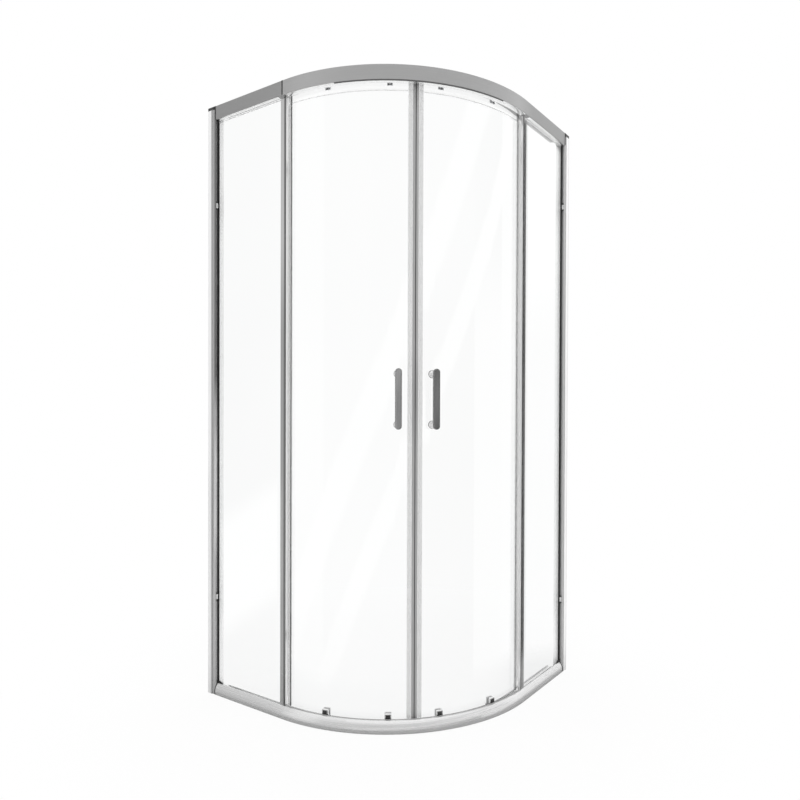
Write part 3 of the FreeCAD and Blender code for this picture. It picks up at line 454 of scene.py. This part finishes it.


# Painted light and shade: scales the base colour inside the zone.
def painted_light_zone(finish, side, level, **tests):
    tree = finish.node_tree
    base = tree.nodes["Principled BSDF"].inputs["Base Color"]
    scaled = add_node(tree, "ShaderNodeVectorMath", {
        0: base.links[0].from_socket,
        "Scale": zone_share(finish, side, level - 1.0, 1.0, tests)}, operation="SCALE")
    tree.links.new(scaled.outputs[0], base)
    print(finish.name, "tint", level, "where", tests)


def metal_zone(finish, side, level, **tests):
    metal = finish.node_tree.nodes["Principled BSDF"].inputs["Metallic"]
    rest = metal.default_value
    finish.node_tree.links.new(zone_share(finish, side, level - rest, rest, tests), metal)
    print(finish.name, "metal", level, "where", tests)


# %% [markdown]
# ## Uprights in zones
# The uprights are one aluminium, and their light and shade is painted into the colour: a
# wall profile is painted pale and the jamb inside it grey, the jamb's channel beside the
# gasket gets painted shade, and its inner flange a painted highlight. A post on a pane's
# free edge is polished in front and matt towards the door, with the matt face painted a
# touch paler. The two sides stand in different light, so each gets a few painted zones of
# its own: the left post has a painted dark line, the left jamb is painted darker above,
# and the straight lengths of the fascia are painted darker than its bend.

# %% Zones of the fascia
# Painted shade: the fascia's straight lengths are painted darker than its bend.
painted_light_zone(top_rail_finish, "left", 0.82, along=(-0.5, 0.3458))
painted_light_zone(top_rail_finish, "right", 0.77, run=(-0.5, 0.36))

# %% Upright finishes
inner_flange = {"inward": (0.0220, 0.05)}
gasket_channel = {"along": (0.0355, 0.05), "inward": (0.0093, 0.0150)}
leading_face = {"along": (0.3506, 0.36)}
wall_finishes, jamb_finishes, post_finishes = {}, {}, {}
# Painted light and shade: one aluminium, painted pale on the wall profiles and grey on the jambs.
for side in SIDES:
    wall_finishes[side] = grained_finish(
        side + "_wall_aluminium", grey(0.92), grey(0.96), drawn_up,
        rough=(0.30, 0.40), relief=0.00002, metallic=0.2)
    jamb_finishes[side] = grained_finish(
        side + "_jamb_aluminium", grey(0.44), grey(0.49), drawn_up,
        rough=(0.20, 0.28), relief=0.00001, metallic=0.25)
    post_finishes[side] = grained_finish(
        side + "_post_aluminium", grey(0.90), grey(0.94), drawn_up,
        rough=(0.03, 0.05), relief=0.0000005, metallic=1.0)
    # Painted shade on the channel beside the gasket, a painted highlight on the inner flange, and
    # a touch of painted light on the post's leading face.
    painted_light_zone(jamb_finishes[side], side, 0.28, **gasket_channel)
    painted_light_zone(jamb_finishes[side], side, 2.0, **inner_flange)
    metal_zone(jamb_finishes[side], side, 1.0, **inner_flange)
    metal_zone(post_finishes[side], side, 0.3, **leading_face)
    painted_light_zone(post_finishes[side], side, 1.05, **leading_face)
    wear(wall_finishes[side], side + "_wall_profile")
    wear(jamb_finishes[side], side + "_jamb_profile")
    wear(post_finishes[side], side + "_fixed_edge_profile")

# %% Zones of one side
# Painted light and shade for each side: part of the left wall profile's face is painted darker,
# the left post gets a painted dark line, the left wall profile is painted darker below 0.75 m, the
# left jamb's face is painted darker above 1 m and lighter from 0.5 to 0.85 m, the right wall
# profile is painted darker against the wall, and part of the right jamb's inner flange is painted
# darker.
jamb_face = {"along": (0.0290, 0.05), "inward": (-0.01, 0.0200)}
painted_light_zone(wall_finishes["left"], "left", 0.50, along=(0.0148, 0.05), inward=(-0.01, 0.0080))
painted_light_zone(post_finishes["left"], "left", 0.42, along=(0.3436, 0.3492))
painted_light_zone(wall_finishes["left"], "left", 0.90, up=(-0.5, 0.75))
painted_light_zone(jamb_finishes["left"], "left", 0.35, **jamb_face, up=(1.0, 2.5))
painted_light_zone(jamb_finishes["left"], "left", 1.50, **jamb_face, up=(0.5, 0.85))
painted_light_zone(wall_finishes["right"], "right", 0.75, along=(-0.01, 0.0040))
painted_light_zone(jamb_finishes["right"], "right", 0.85, inward=(0.0220, 0.0280))

# %% [markdown]
# ## Glass
# The panes are clear toughened glass, five millimetres thick. A single glass shader is
# enough, because the panes are real solids with a front and a back. Float glass is never
# quite flat, so a slow, very shallow relief lets reflections wander a little.

# %% Glass
def clear_finish(finish, transmission, ior):
    shader = finish.node_tree.nodes["Principled BSDF"]
    shader.inputs["Transmission Weight"].default_value = transmission
    shader.inputs["IOR"].default_value = ior


glass_finish = grained_finish(
    "clear_toughened_glass", (0.985, 0.990, 0.988), (0.994, 0.997, 0.996), (3.0, 3.0, 2.0),
    rough=(0.0, 0.012), relief=0.00002)
clear_finish(glass_finish, transmission=1.0, ior=1.5)
wear(glass_finish, *both_sides("_fixed_glass", "_door_glass"))

# %% [markdown]
# ## Rubber and soft strips
# Black rubber holds the panes in the jambs and closes the rail ends, and grey strips bed
# them in the rails. The strips on the doors' edges are milky clear, and the magnet inside
# each is grey. Rubber has an even grain in all directions. Only the strips that leave a
# die are streaked along their length.

# %% Rubber and strip finishes
moulded = (700.0, 700.0, 700.0)
rubber_finish = grained_finish(
    "black_gasket_rubber", grey(0.012), grey(0.03), moulded, rough=(0.55, 0.75), relief=0.00006)
wear(rubber_finish, "rail_end_seals", "door_stops", *both_sides("_jamb_gasket"))
glazing_finish = grained_finish(
    "grey_glazing_strip", grey(0.40), grey(0.48), moulded, rough=(0.45, 0.6), relief=0.00003)
wear(glazing_finish, *both_sides("_glazing_strips"))
strip_finish = grained_finish(
    "milky_clear_strip", grey(0.90), grey(0.96), (300.0, 300.0, 5.0),
    rough=(0.08, 0.16), relief=0.00001)
clear_finish(strip_finish, transmission=0.9, ior=1.53)
wear(strip_finish, *both_sides(
    "_fixed_edge_seal", "_magnet_carrier", "_drip_seal", "_trailing_strip"))
magnet_finish = grained_finish(
    "grey_magnet_strip", grey(0.36), grey(0.42), (600.0, 600.0, 12.0),
    rough=(0.45, 0.6), relief=0.00003)
wear(magnet_finish, *both_sides("_magnet_strip"))

# %% [markdown]
# ## Moulded plastic
# Caps, end blocks and release buttons are dark moulded plastic, wheels and housings are
# white nylon. Both take the even grain of the mould, the dark one a little glossier.

# %% Plastic finishes
ENDS = ("leading", "trailing")
dark_plastic_finish = grained_finish(
    "dark_moulded_plastic", grey(0.02), grey(0.045), moulded, rough=(0.38, 0.5), relief=0.00005)
wear(dark_plastic_finish, "wall_caps", "rail_end_blocks",
     *both_sides(*["_button_" + end for end in ENDS]))
nylon_finish = grained_finish(
    "white_wheel_nylon", grey(0.74), grey(0.80), moulded, rough=(0.4, 0.5), relief=0.00004)
wheels = both_sides(*[level + end for level in ("_top_wheel_", "_bottom_wheel_") for end in ENDS])
wear(nylon_finish, *wheels, *both_sides("_guide_housings"))

# %% [markdown]
# ## Bright fittings
# Roller blocks, bezels and clips are chrome plated, and brackets, axles and screws are
# zinc plated steel. The handle bars are satin nickel on pale cast posts, and each bar has
# its own grey, because they stand in different light. Chrome gets hardly any grain, only
# the faint unevenness of a polished casting. The bars are brushed along their length, and
# zinc is duller, with a cloudy colour.

# %% Bright finishes
chrome_finish = grained_finish(
    "polished_chrome_plate", grey(0.80), grey(0.86), (60.0, 60.0, 60.0),
    rough=(0.10, 0.18), relief=0.00001, metallic=1.0)
wear(chrome_finish, "jamb_clips", *both_sides("_handle_nuts", "_roller_caps", "_guide_bezels"))
bar_greys = {"left": (0.32, 0.38), "right": (0.18, 0.24)}
for side, (dark, pale) in bar_greys.items():
    bar_finish = grained_finish(
        side + "_nickel_bar", grey(dark), grey(pale), (500.0, 500.0, 14.0),
        rough=(0.12, 0.18), relief=0.00002, metallic=1.0)
    wear(bar_finish, side + "_handle_bar")
cast_post_finish = grained_finish(
    "pale_cast_post", grey(0.92), grey(0.96), (90.0, 90.0, 90.0),
    rough=(0.16, 0.24), relief=0.00001, metallic=0.15)
wear(cast_post_finish, *both_sides("_handle_posts"))
zinc_finish = grained_finish(
    "cloudy_zinc_plate", (0.50, 0.51, 0.53), (0.66, 0.66, 0.67), (240.0, 240.0, 240.0),
    rough=(0.28, 0.42), relief=0.00003, metallic=1.0)
wear(zinc_finish, "rail_screws", *both_sides("_hanger_brackets", "_roller_axles"))

# %% [markdown]
# ## A maker of node pieces
# Small things that repeat or follow a path are grown with Geometry Nodes. A tree is given
# named sizes, an empty or pointed start mesh is handed to it, and the outcome is turned
# into a plain mesh, because later steps read plain meshes only.

# %% Tree helpers
def size_tree(name, sizes):
    tree = bpy.data.node_groups.new(name, "GeometryNodeTree")
    for way in ("INPUT", "OUTPUT"):
        tree.interface.new_socket(name="Geometry", in_out=way, socket_type="NodeSocketGeometry")
    for label, kind in sizes.items():
        tree.interface.new_socket(name=label, in_out="INPUT", socket_type="NodeSocket" + kind)
    return tree, tree.nodes.new("NodeGroupInput").outputs


def close_tree(tree, given, made):
    whole = add_node(tree, "GeometryNodeRealizeInstances", {"Geometry": made})
    dressed = add_node(tree, "GeometryNodeSetMaterial", {
        "Geometry": whole.outputs["Geometry"], "Material": given["Finish"]})
    add_node(tree, "NodeGroupOutput", {"Geometry": dressed.outputs["Geometry"]})
    print("tree", tree.name, "with", len(tree.nodes), "nodes")


# %% Piece helper
merge_distance = 0.000001


def grow(tree, name, body, slot, points=(), **sizes):
    start = bpy.data.meshes.new(name)
    start.from_pydata([tuple(point) for point in points], [], [])
    piece = bpy.data.objects.new(name, start)
    bpy.context.scene.collection.objects.link(piece)
    maker = piece.modifiers.new("maker", "NODES")
    maker.node_group = tree
    for item in tree.interface.items_tree:
        key = item.name.lower().replace(" ", "_")
        if item.in_out == "INPUT" and key in sizes:
            maker[item.identifier] = sizes[key]
    depsgraph = bpy.context.evaluated_depsgraph_get()
    made = bpy.data.meshes.new_from_object(piece.evaluated_get(depsgraph), depsgraph=depsgraph)
    piece.modifiers.remove(maker)
    piece.data = made
    shell = bmesh.new()
    shell.from_mesh(made)
    bmesh.ops.remove_doubles(shell, verts=shell.verts, dist=merge_distance)
    bmesh.ops.recalc_face_normals(shell, faces=shell.faces)
    shell.to_mesh(made)
    shell.free()
    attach(piece, body)
    print(name, "rides on", body, "with", len(made.polygons), "faces")


# %% [markdown]
# ## A bead along an arc
# Much of the trim is one small section that runs round the bend. A drawn curve with a
# bevel would do, but an arc node takes its radius and angles as plain numbers, so one tree
# serves every bent bead. The section is a rectangle with its corners taken off.

# %% Bent bead tree
bead_rounding = 0.0003


def bead_section(tree, given):
    outline = add_node(tree, "GeometryNodeCurvePrimitiveQuadrilateral", {
        "Width": given["Bead Width"], "Height": given["Bead Height"]})
    softened = add_node(tree, "GeometryNodeFilletCurve", {
        "Curve": outline.outputs["Curve"], "Count": 2, "Radius": bead_rounding},
        mode="POLY")
    return softened.outputs["Curve"]


def level_path(tree, curve):
    level = add_node(tree, "GeometryNodeSetCurveNormal", {"Curve": curve}, mode="Z_UP")
    return level.outputs["Curve"]


def sweep(tree, path, section, capped=True):
    swept = add_node(tree, "GeometryNodeCurveToMesh", {
        "Curve": path, "Profile Curve": section, "Fill Caps": capped})
    return swept.outputs["Mesh"]


bent_tree, given = size_tree("bent_bead", {
    "Radius": "Float", "Start Angle": "Float", "Sweep Angle": "Float", "Place": "Vector",
    "Bead Width": "Float", "Bead Height": "Float", "Finish": "Material"})
arc_sizes = {label: given[label] for label in ("Radius", "Start Angle", "Sweep Angle")}
arc = add_node(bent_tree, "GeometryNodeCurveArc", {"Resolution": 72, **arc_sizes})
moved = add_node(bent_tree, "GeometryNodeTransform", {
    "Geometry": level_path(bent_tree, arc.outputs["Curve"]), "Translation": given["Place"]})
close_tree(bent_tree, given, sweep(
    bent_tree, moved.outputs["Geometry"], bead_section(bent_tree, given)))

# %% [markdown]
# ## Beads round the bend
# A dark brush lies under the fascia where the doors pass, a dark strip that stands in for
# the shadow line there. A pale filler closes the top rail's empty glazing slot round the
# bend, a grey one closes the sill's, and a thin clear bead runs along each door near its top.

# %% Bent beads
lip_finish = grained_finish(
    "dark_grey_brush", grey(0.07), grey(0.13), (900.0, 900.0, 60.0),
    rough=(0.6, 0.8), relief=0.00008)
filler_finish = grained_finish(
    "bright_filler_strip", grey(0.93), grey(0.97), (400.0, 400.0, 400.0),
    rough=(0.18, 0.26), relief=0.000002, metallic=0.9)
whole_bend = (0.6, 89.4)


def bend_bead(name, body, slot, finish, turns, radius, height, width, tall):
    first, last = turns
    grow(bent_tree, name, body, slot, radius=radius, place=(*corner[:2], height),
         start_angle=math.radians(first - 90.0), sweep_angle=math.radians(last - first),
         bead_width=width, bead_height=tall, finish=finish)


# Painted shade: the dark brush stands in for the shadow under the fascia's lower edge.
bend_bead("fascia_dust_lip", "frame", "black_rubber", lip_finish, turns=(19.0, 76.0),
          radius=0.5468, height=1.9044, width=0.0020, tall=0.0038)
bend_bead("bent_slot_filler", "frame", "clear_pvc", filler_finish, turns=whole_bend,
          radius=0.5360, height=1.9056, width=0.0196, tall=0.0009)
bend_bead("bent_sill_filler", "frame", "clear_pvc", glazing_finish, turns=whole_bend,
          radius=0.5315, height=0.0362, width=0.0078, tall=0.0009)
for side, door_turns in (("left", (0.8, 42.3)), ("right", (47.7, 89.2))):
    bend_bead(side + "_door_top_bead", side + "_door", "clear_pvc", strip_finish,
              turns=door_turns, radius=0.5176, height=1.888, width=0.0013, tall=0.0022)

# %% [markdown]
# ## A bead along a line
# Straight trim uses the same section along a line. Most of it is the same on both sides,
# so a place is written down once, for the left, and mirrored for the right. Mirroring the
# mesh would turn it inside out. Mirroring the two end points does not.

# %% Straight bead tree
line_tree, given = size_tree("straight_bead", {
    "Start": "Vector", "End": "Vector", "Section Turn": "Vector",
    "Bead Width": "Float", "Bead Height": "Float", "Finish": "Material"})
run = add_node(line_tree, "GeometryNodeCurvePrimitiveLine", {
    "Start": given["Start"], "End": given["End"]})
turned_section = add_node(line_tree, "GeometryNodeTransform", {
    "Geometry": bead_section(line_tree, given), "Rotation": given["Section Turn"]})
close_tree(line_tree, given, sweep(
    line_tree, level_path(line_tree, run.outputs["Curve"]), turned_section.outputs["Geometry"]))


def mirrored(side, point):
    x, y, z = point
    return (x, y, z) if side == "left" else (-y, -x, z)


def line_bead(name, body, slot, finish, side, ends, width, tall):
    start, end = (mirrored(side, point) for point in ends)
    grow(line_tree, name, body, slot, start=start, end=end,
         bead_width=width, bead_height=tall, finish=finish)


# %% [markdown]
# ## Beads on the fixed panes
# Under the fascia each fixed pane has a clear bead in front and pale fillers before and
# behind it, which hide the slot that holds the glass. On the sill a thin grey bead lies
# along the pane's foot. A row below is one of them: its finish, how far out and how high
# it lies, its width and its height.

# %% Pane beads
pane_ends = (-0.408, -0.124)
pane_beads = (
    ("_pane_top_bead", strip_finish, 0.4347, 1.899, 0.0013, 0.0018),
    ("_glazing_filler", filler_finish, 0.4402, 1.9056, 0.0116, 0.0009),
    ("_sill_bead", glazing_finish, 0.43475, 0.0362, 0.0014, 0.0012),
    ("_rear_filler", filler_finish, 0.4271, 1.9056, 0.0034, 0.0009))
for side in SIDES:
    for label, finish, depth, up, width, tall in pane_beads:
        line_bead(side + label, "frame", "clear_pvc", finish, side,
                  [(x, -depth, up) for x in pane_ends], width, tall)

# %% [markdown]
# ## Noses where the doors meet
# Each door's magnet carries a thin dark nose over its whole height, as painted shade for
# the gap between the doors. They stand at the middle of the bend, a hair apart.

# %% Magnet noses
def round_corner(turn, radius, height):
    angle = math.radians(turn)
    return corner + Vector((radius * math.sin(angle), -radius * math.cos(angle), height))


nose_foot = round_corner(turn=45.0, radius=0.5187, height=0.033)
nose_length = Vector((0.0, 0.0, 1.882))
nose_apart = Vector((1.0, 1.0, 0.0)).normalized() * 0.0006
# Painted shade: dark noses where the gap between the doors shows its shadow.
for side, foot in (("left", nose_foot - nose_apart), ("right", nose_foot + nose_apart)):
    grow(line_tree, side + "_magnet_nose", side + "_door", "black_rubber",
         start=tuple(foot), end=tuple(foot + nose_length), bead_width=0.0011, bead_height=0.0008,
         section_turn=(0.0, 0.0, math.radians(45.0)), finish=rubber_finish)

# %% [markdown]
# ## Upright trim
# A dark joint shows in the left fascia where the straight length of rail meets the bent
# one. A thin black bead stands beside each post, a dark line as painted shade for the post's
# edge, and the door's hooked strip carries a line of dark pile. All three run straight up.

# %% Joint, buffers and pile
def upright(x, y, low, high):
    return [(x, y, low), (x, y, high)]


line_bead("left_fascia_joint", "frame", "black_rubber", rubber_finish, "left",
          upright(x=-0.1042, y=-0.44805, low=1.9062, high=1.9498), width=0.0046, tall=0.0008)
# Painted shade: each black bead stands in for the dark edge of a post.
for side in SIDES:
    line_bead(side + "_post_buffer", "frame", "black_rubber", rubber_finish, side,
              upright(x=-0.0996, y=-0.4364, low=0.0380, high=1.9050), width=0.0018, tall=0.0018)
pile_widths = {"left": 0.0034, "right": 0.0014}
for side, pile_width in pile_widths.items():
    line_bead(side + "_strip_pile", side + "_door", "black_rubber", lip_finish, side,
              upright(x=-0.0944, y=-0.4177, low=0.0330, high=1.9150),
              width=pile_width, tall=0.0012)

# %% [markdown]
# ## Skirts of the end caps
# Dark caps close the tops of the wall profiles and the jambs, and each grips its metal by
# a short skirt in front. The skirts are flat beads, one over the wall profile's face and
# one over the jamb's.

# %% Cap skirts
skirt_height = 1.9432
skirt_runs = {"wall": (0.4480, -0.4497, -0.4288), "jamb": (0.4460, -0.4284, -0.4142)}
for side in SIDES:
    for part, (depth, near, far) in skirt_runs.items():
        line_bead(side + "_" + part + "_cap_skirt", "frame", "dark_plastic", dark_plastic_finish,
                  side, [(x, -depth, skirt_height) for x in (near, far)],
                  width=0.0007, tall=0.0052)

# %% [markdown]
# ## Lips at the rail ends
# The rubber pads between the rails and the jambs stand out a little, and their lips show as
# dark lines. On the sill the lip follows the round nose. A sweep along a curve with one
# handle does both: the handle pulled out gives the nose, and a handle halfway gives a line.

# %% Rail end lips
lip_tree, given = size_tree("end_lip", {
    "Start": "Vector", "Handle": "Vector", "End": "Vector",
    "Bead Width": "Float", "Bead Height": "Float", "Finish": "Material"})
lip_path = add_node(lip_tree, "GeometryNodeCurveQuadraticBezier", {
    "Resolution": 16, "Start": given["Start"], "Middle": given["Handle"], "End": given["End"]})
close_tree(lip_tree, given, sweep(
    lip_tree, lip_path.outputs["Curve"], bead_section(lip_tree, given)))

lip_along = 0.0364
lip_width = 0.0020
lip_paths = {
    "sill": ((0.0022, 0.0015), (-0.0046, 0.0170), (0.0105, 0.0362)),
    "fascia": ((0.0016, 1.9066), (0.0016, 1.9280), (0.0016, 1.9494))}
for side in SIDES:
    for rail, lip_points in lip_paths.items():
        start, handle, end = (
            mirrored(side, (lip_along - half_size, inward - half_size, up))
            for inward, up in lip_points)
        grow(lip_tree, side + "_" + rail + "_end_lip", "frame", "black_rubber",
             start=start, handle=handle, end=end,
             bead_width=lip_width, bead_height=lip_width, finish=rubber_finish)

# %% [markdown]
# ## Pads at the clips
# Each bright clip on a jamb sits between two short dark pads, painted shade that stands in
# for the shaded gaps above and below it.
# They repeat eight times, so one rounded block is placed on points. The block is an
# outline with soft corners, swept up a short line.

# %% Clip pad tree
def placed(tree, points, shape, rotation=None):
    inputs = {"Points": points, "Instance": shape}
    if rotation is not None:
        inputs["Rotation"] = rotation
    return add_node(tree, "GeometryNodeInstanceOnPoints", inputs).outputs["Instances"]


pad_tree, given = size_tree("clip_pads", {
    "Pad Size": "Vector", "Pad Rounding": "Float", "Finish": "Material"})
pad_sizes = add_node(pad_tree, "ShaderNodeSeparateXYZ", {"Vector": given["Pad Size"]})
pad_outline = add_node(pad_tree, "GeometryNodeCurvePrimitiveQuadrilateral", {
    "Width": pad_sizes.outputs["X"], "Height": pad_sizes.outputs["Y"]})
soft_outline = add_node(pad_tree, "GeometryNodeFilletCurve", {
    "Curve": pad_outline.outputs["Curve"], "Count": 3, "Radius": given["Pad Rounding"]},
    mode="POLY")
pad_bottom, pad_top = (
    add_node(pad_tree, "ShaderNodeVectorMath", {
        0: given["Pad Size"], 1: (0.0, 0.0, share)}, operation="MULTIPLY").outputs[0]
    for share in (-0.5, 0.5))
pad_line = add_node(pad_tree, "GeometryNodeCurvePrimitiveLine", {
    "Start": pad_bottom, "End": pad_top})
pad_block = sweep(pad_tree, pad_line.outputs["Curve"], soft_outline.outputs["Curve"])
close_tree(pad_tree, given, placed(pad_tree, given["Geometry"], pad_block))

# %% [markdown]
# ## Places of the clip pads
# The points come from the clips' own boxes: each clip has one pad below it and one above.
# All four clips are one mesh, so its corners are first sorted by side and by height. The
# pads stand a little lower than the clips, because they are nine tenths as deep.

# %% Clip pads
pad_tall = 0.0055
pad_share = 0.9
between_clips = 0.98
clip_corners = {}
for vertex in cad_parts["jamb_clips"].data.vertices:
    key = ("left" if vertex.co.x < 0.0 else "right", vertex.co.z > between_clips)
    clip_corners.setdefault(key, []).append(vertex.co)
# Painted shade: the dark pads stand in for the shaded gaps above and below each clip.
for side in SIDES:
    pad_places = []
    for points in [found for key, found in clip_corners.items() if key[0] == side]:
        low = [min(point[axis] for point in points) for axis in range(3)]
        high = [max(point[axis] for point in points) for axis in range(3)]
        middle = [(a + b) / 2.0 for a, b in zip(low, high)]
        for edge in (low[2] - pad_tall / 2.0, high[2] + pad_tall / 2.0):
            pad_places.append((middle[0], middle[1], edge))
    pad_plan = [(b - a) * pad_share for a, b in zip(low, high)][:2]
    grow(pad_tree, side + "_clip_pads", "frame", "dark_plastic", points=pad_places,
         pad_size=(*pad_plan, pad_tall), pad_rounding=0.0004, finish=dark_plastic_finish)

# %% [markdown]
# ## Washers under the handles
# A thin dark washer lies under each handle post where it meets the glass. It is a ring, a
# small circle swept round a larger one. It stands on the line from the corner's centre
# through the handle, so the tree turns it on to that line and repeats it at both heights.

# %% Washer tree
def swept_ring(tree, ring_radius, bar_radius, steps):
    loop = add_node(tree, "GeometryNodeCurvePrimitiveCircle", {
        "Resolution": steps, "Radius": ring_radius})
    bar = add_node(tree, "GeometryNodeCurvePrimitiveCircle", {
        "Resolution": 8, "Radius": bar_radius})
    return sweep(tree, loop.outputs["Curve"], bar.outputs["Curve"], capped=False)


ring_tree, given = size_tree("rings_on_a_line", {
    "Ring Radius": "Float", "Bar Radius": "Float", "Facing": "Vector", "Finish": "Material"})
washer_ring = swept_ring(ring_tree, given["Ring Radius"], given["Bar Radius"], steps=40)
close_tree(ring_tree, given, placed(
    ring_tree, given["Geometry"], washer_ring, given["Facing"]))

# %% [markdown]
# ## Knurls on the nuts
# Behind the glass each handle post ends in a round nut with a knurled rim, for fingers to
# turn. A knurl could be bump in the material, but it shows in the nut's outline. So it is
# a circle of small ridges, set on the same line as the washers.

# %% Knurl tree
knurl_tree, given = size_tree("knurled_rims", {
    "Rim Radius": "Float", "Ridge Count": "Int", "Ridge Radius": "Float", "Rim Length": "Float",
    "Facing": "Vector", "Finish": "Material"})
rim = add_node(knurl_tree, "GeometryNodeMeshCircle", {
    "Vertices": given["Ridge Count"], "Radius": given["Rim Radius"]})
ridge = add_node(knurl_tree, "GeometryNodeMeshCylinder", {
    "Vertices": 6, "Radius": given["Ridge Radius"], "Depth": given["Rim Length"]})
knurled_rim = placed(knurl_tree, rim.outputs["Mesh"], ridge.outputs["Mesh"])
close_tree(knurl_tree, given, placed(
    knurl_tree, given["Geometry"], knurled_rim, given["Facing"]))

# %% [markdown]
# ## Setting washers and knurls
# The posts stand at one bearing on each door, counted from the door's fixed pane, so the
# right door's bearing is the left one's taken from a right angle. A ring lies flat when it
# is made, and two turns stand it up and face it outward along that bearing.

# %% Washers and knurls
handle_turn = 39.24
post_heights = (0.906, 1.056)
washer_reach = 0.5175
nut_reach = 0.5082


def side_turn(side, turn):
    return turn if side == "left" else 90.0 - turn


def facing(turn):
    return (0.0, math.radians(90.0), math.radians(turn - 90.0))


for side in SIDES:
    turn = side_turn(side, handle_turn)
    grow(ring_tree, side + "_handle_washers", side + "_door", "black_rubber",
         points=[round_corner(turn, washer_reach, up) for up in post_heights],
         ring_radius=0.0113, bar_radius=0.0007, facing=facing(turn), finish=rubber_finish)
    grow(knurl_tree, side + "_nut_knurls", side + "_door", "chrome_plate",
         points=[round_corner(turn, nut_reach, up) for up in post_heights],
         rim_radius=0.0079, ridge_count=28, ridge_radius=0.00042, rim_length=0.0036,
         facing=facing(turn), finish=chrome_finish)

# %% [markdown]
# ## Ball bearings in the wheels
# Every wheel turns on a small ball bearing: balls between two thin races, seen on the side
# that faces the shower. The balls repeat round a circle, and the wheels repeat round the
# door, but each wheel is a body of its own, so the tree is used once for each wheel.

# %% Bearing tree
bearing_tree, given = size_tree("ball_bearing", {
    "Ball Circle": "Float", "Ball Radius": "Float", "Ball Count": "Int", "Race Radius": "Float",
    "Facing": "Vector", "Finish": "Material"})
ball_circle = add_node(bearing_tree, "GeometryNodeMeshCircle", {
    "Vertices": given["Ball Count"], "Radius": given["Ball Circle"]})
ball = add_node(bearing_tree, "GeometryNodeMeshIcoSphere", {
    "Subdivisions": 3, "Radius": given["Ball Radius"]})
bearing_parts = [placed(bearing_tree, ball_circle.outputs["Mesh"], ball.outputs["Mesh"])]
for operation in ("ADD", "SUBTRACT"):
    race = add_math(bearing_tree, operation, given["Ball Circle"], given["Ball Radius"])
    bearing_parts.append(swept_ring(bearing_tree, race, given["Race Radius"], steps=32))
whole_bearing = add_node(bearing_tree, "GeometryNodeJoinGeometry")
for part in bearing_parts:
    bearing_tree.links.new(part, whole_bearing.inputs["Geometry"])
close_tree(bearing_tree, given, placed(
    bearing_tree, given["Geometry"], whole_bearing.outputs["Geometry"], given["Facing"]))

# %% Bearings
roller_turns = {"leading": 36.4, "trailing": 15.183}
axle_heights = {"top": 1.9373, "bottom": 0.0203}
bearing_reach = 0.4960
for side in SIDES:
    for end, roller_turn in roller_turns.items():
        turn = side_turn(side, roller_turn)
        for level, axle_height in axle_heights.items():
            wheel = side + "_" + level + "_wheel_" + end
            grow(bearing_tree, wheel + "_bearing", wheel + "_body", "zinc_steel",
                 points=[round_corner(turn, bearing_reach, axle_height)], ball_circle=0.0046,
                 ball_radius=0.0008, ball_count=9, race_radius=0.0003,
                 facing=facing(turn), finish=zinc_finish)

# %% [markdown]
# ## Ribs on the release buttons
# A wet thumb needs a hold, so each release button has three short ribs across its face.
# One rounded rib is placed on three points, turned to lie across the button.

# %% Button ribs
rib_tree, given = size_tree("button_ribs", {
    "Rib Length": "Float", "Rib Radius": "Float", "Facing": "Vector", "Finish": "Material"})
rib = add_node(rib_tree, "GeometryNodeMeshCylinder", {
    "Vertices": 10, "Radius": given["Rib Radius"], "Depth": given["Rib Length"]})
close_tree(rib_tree, given, placed(
    rib_tree, given["Geometry"], rib.outputs["Mesh"], given["Facing"]))

rib_heights = (0.0386, 0.0406, 0.0426)
button_reach = 0.5254
for side in SIDES:
    for end, roller_turn in roller_turns.items():
        turn = side_turn(side, roller_turn)
        button = side + "_button_" + end
        grow(rib_tree, button + "_ribs", button + "_body", "dark_plastic",
             points=[round_corner(turn, button_reach, up) for up in rib_heights],
             rib_length=0.0070, rib_radius=0.0004,
             facing=(0.0, math.radians(90.0), math.radians(turn)), finish=dark_plastic_finish)

# %% [markdown]
# ## Colour handling
# The plain view transform shows each colour as it was written.

# %% Finish
bpy.context.scene.view_settings.view_transform = "Standard"
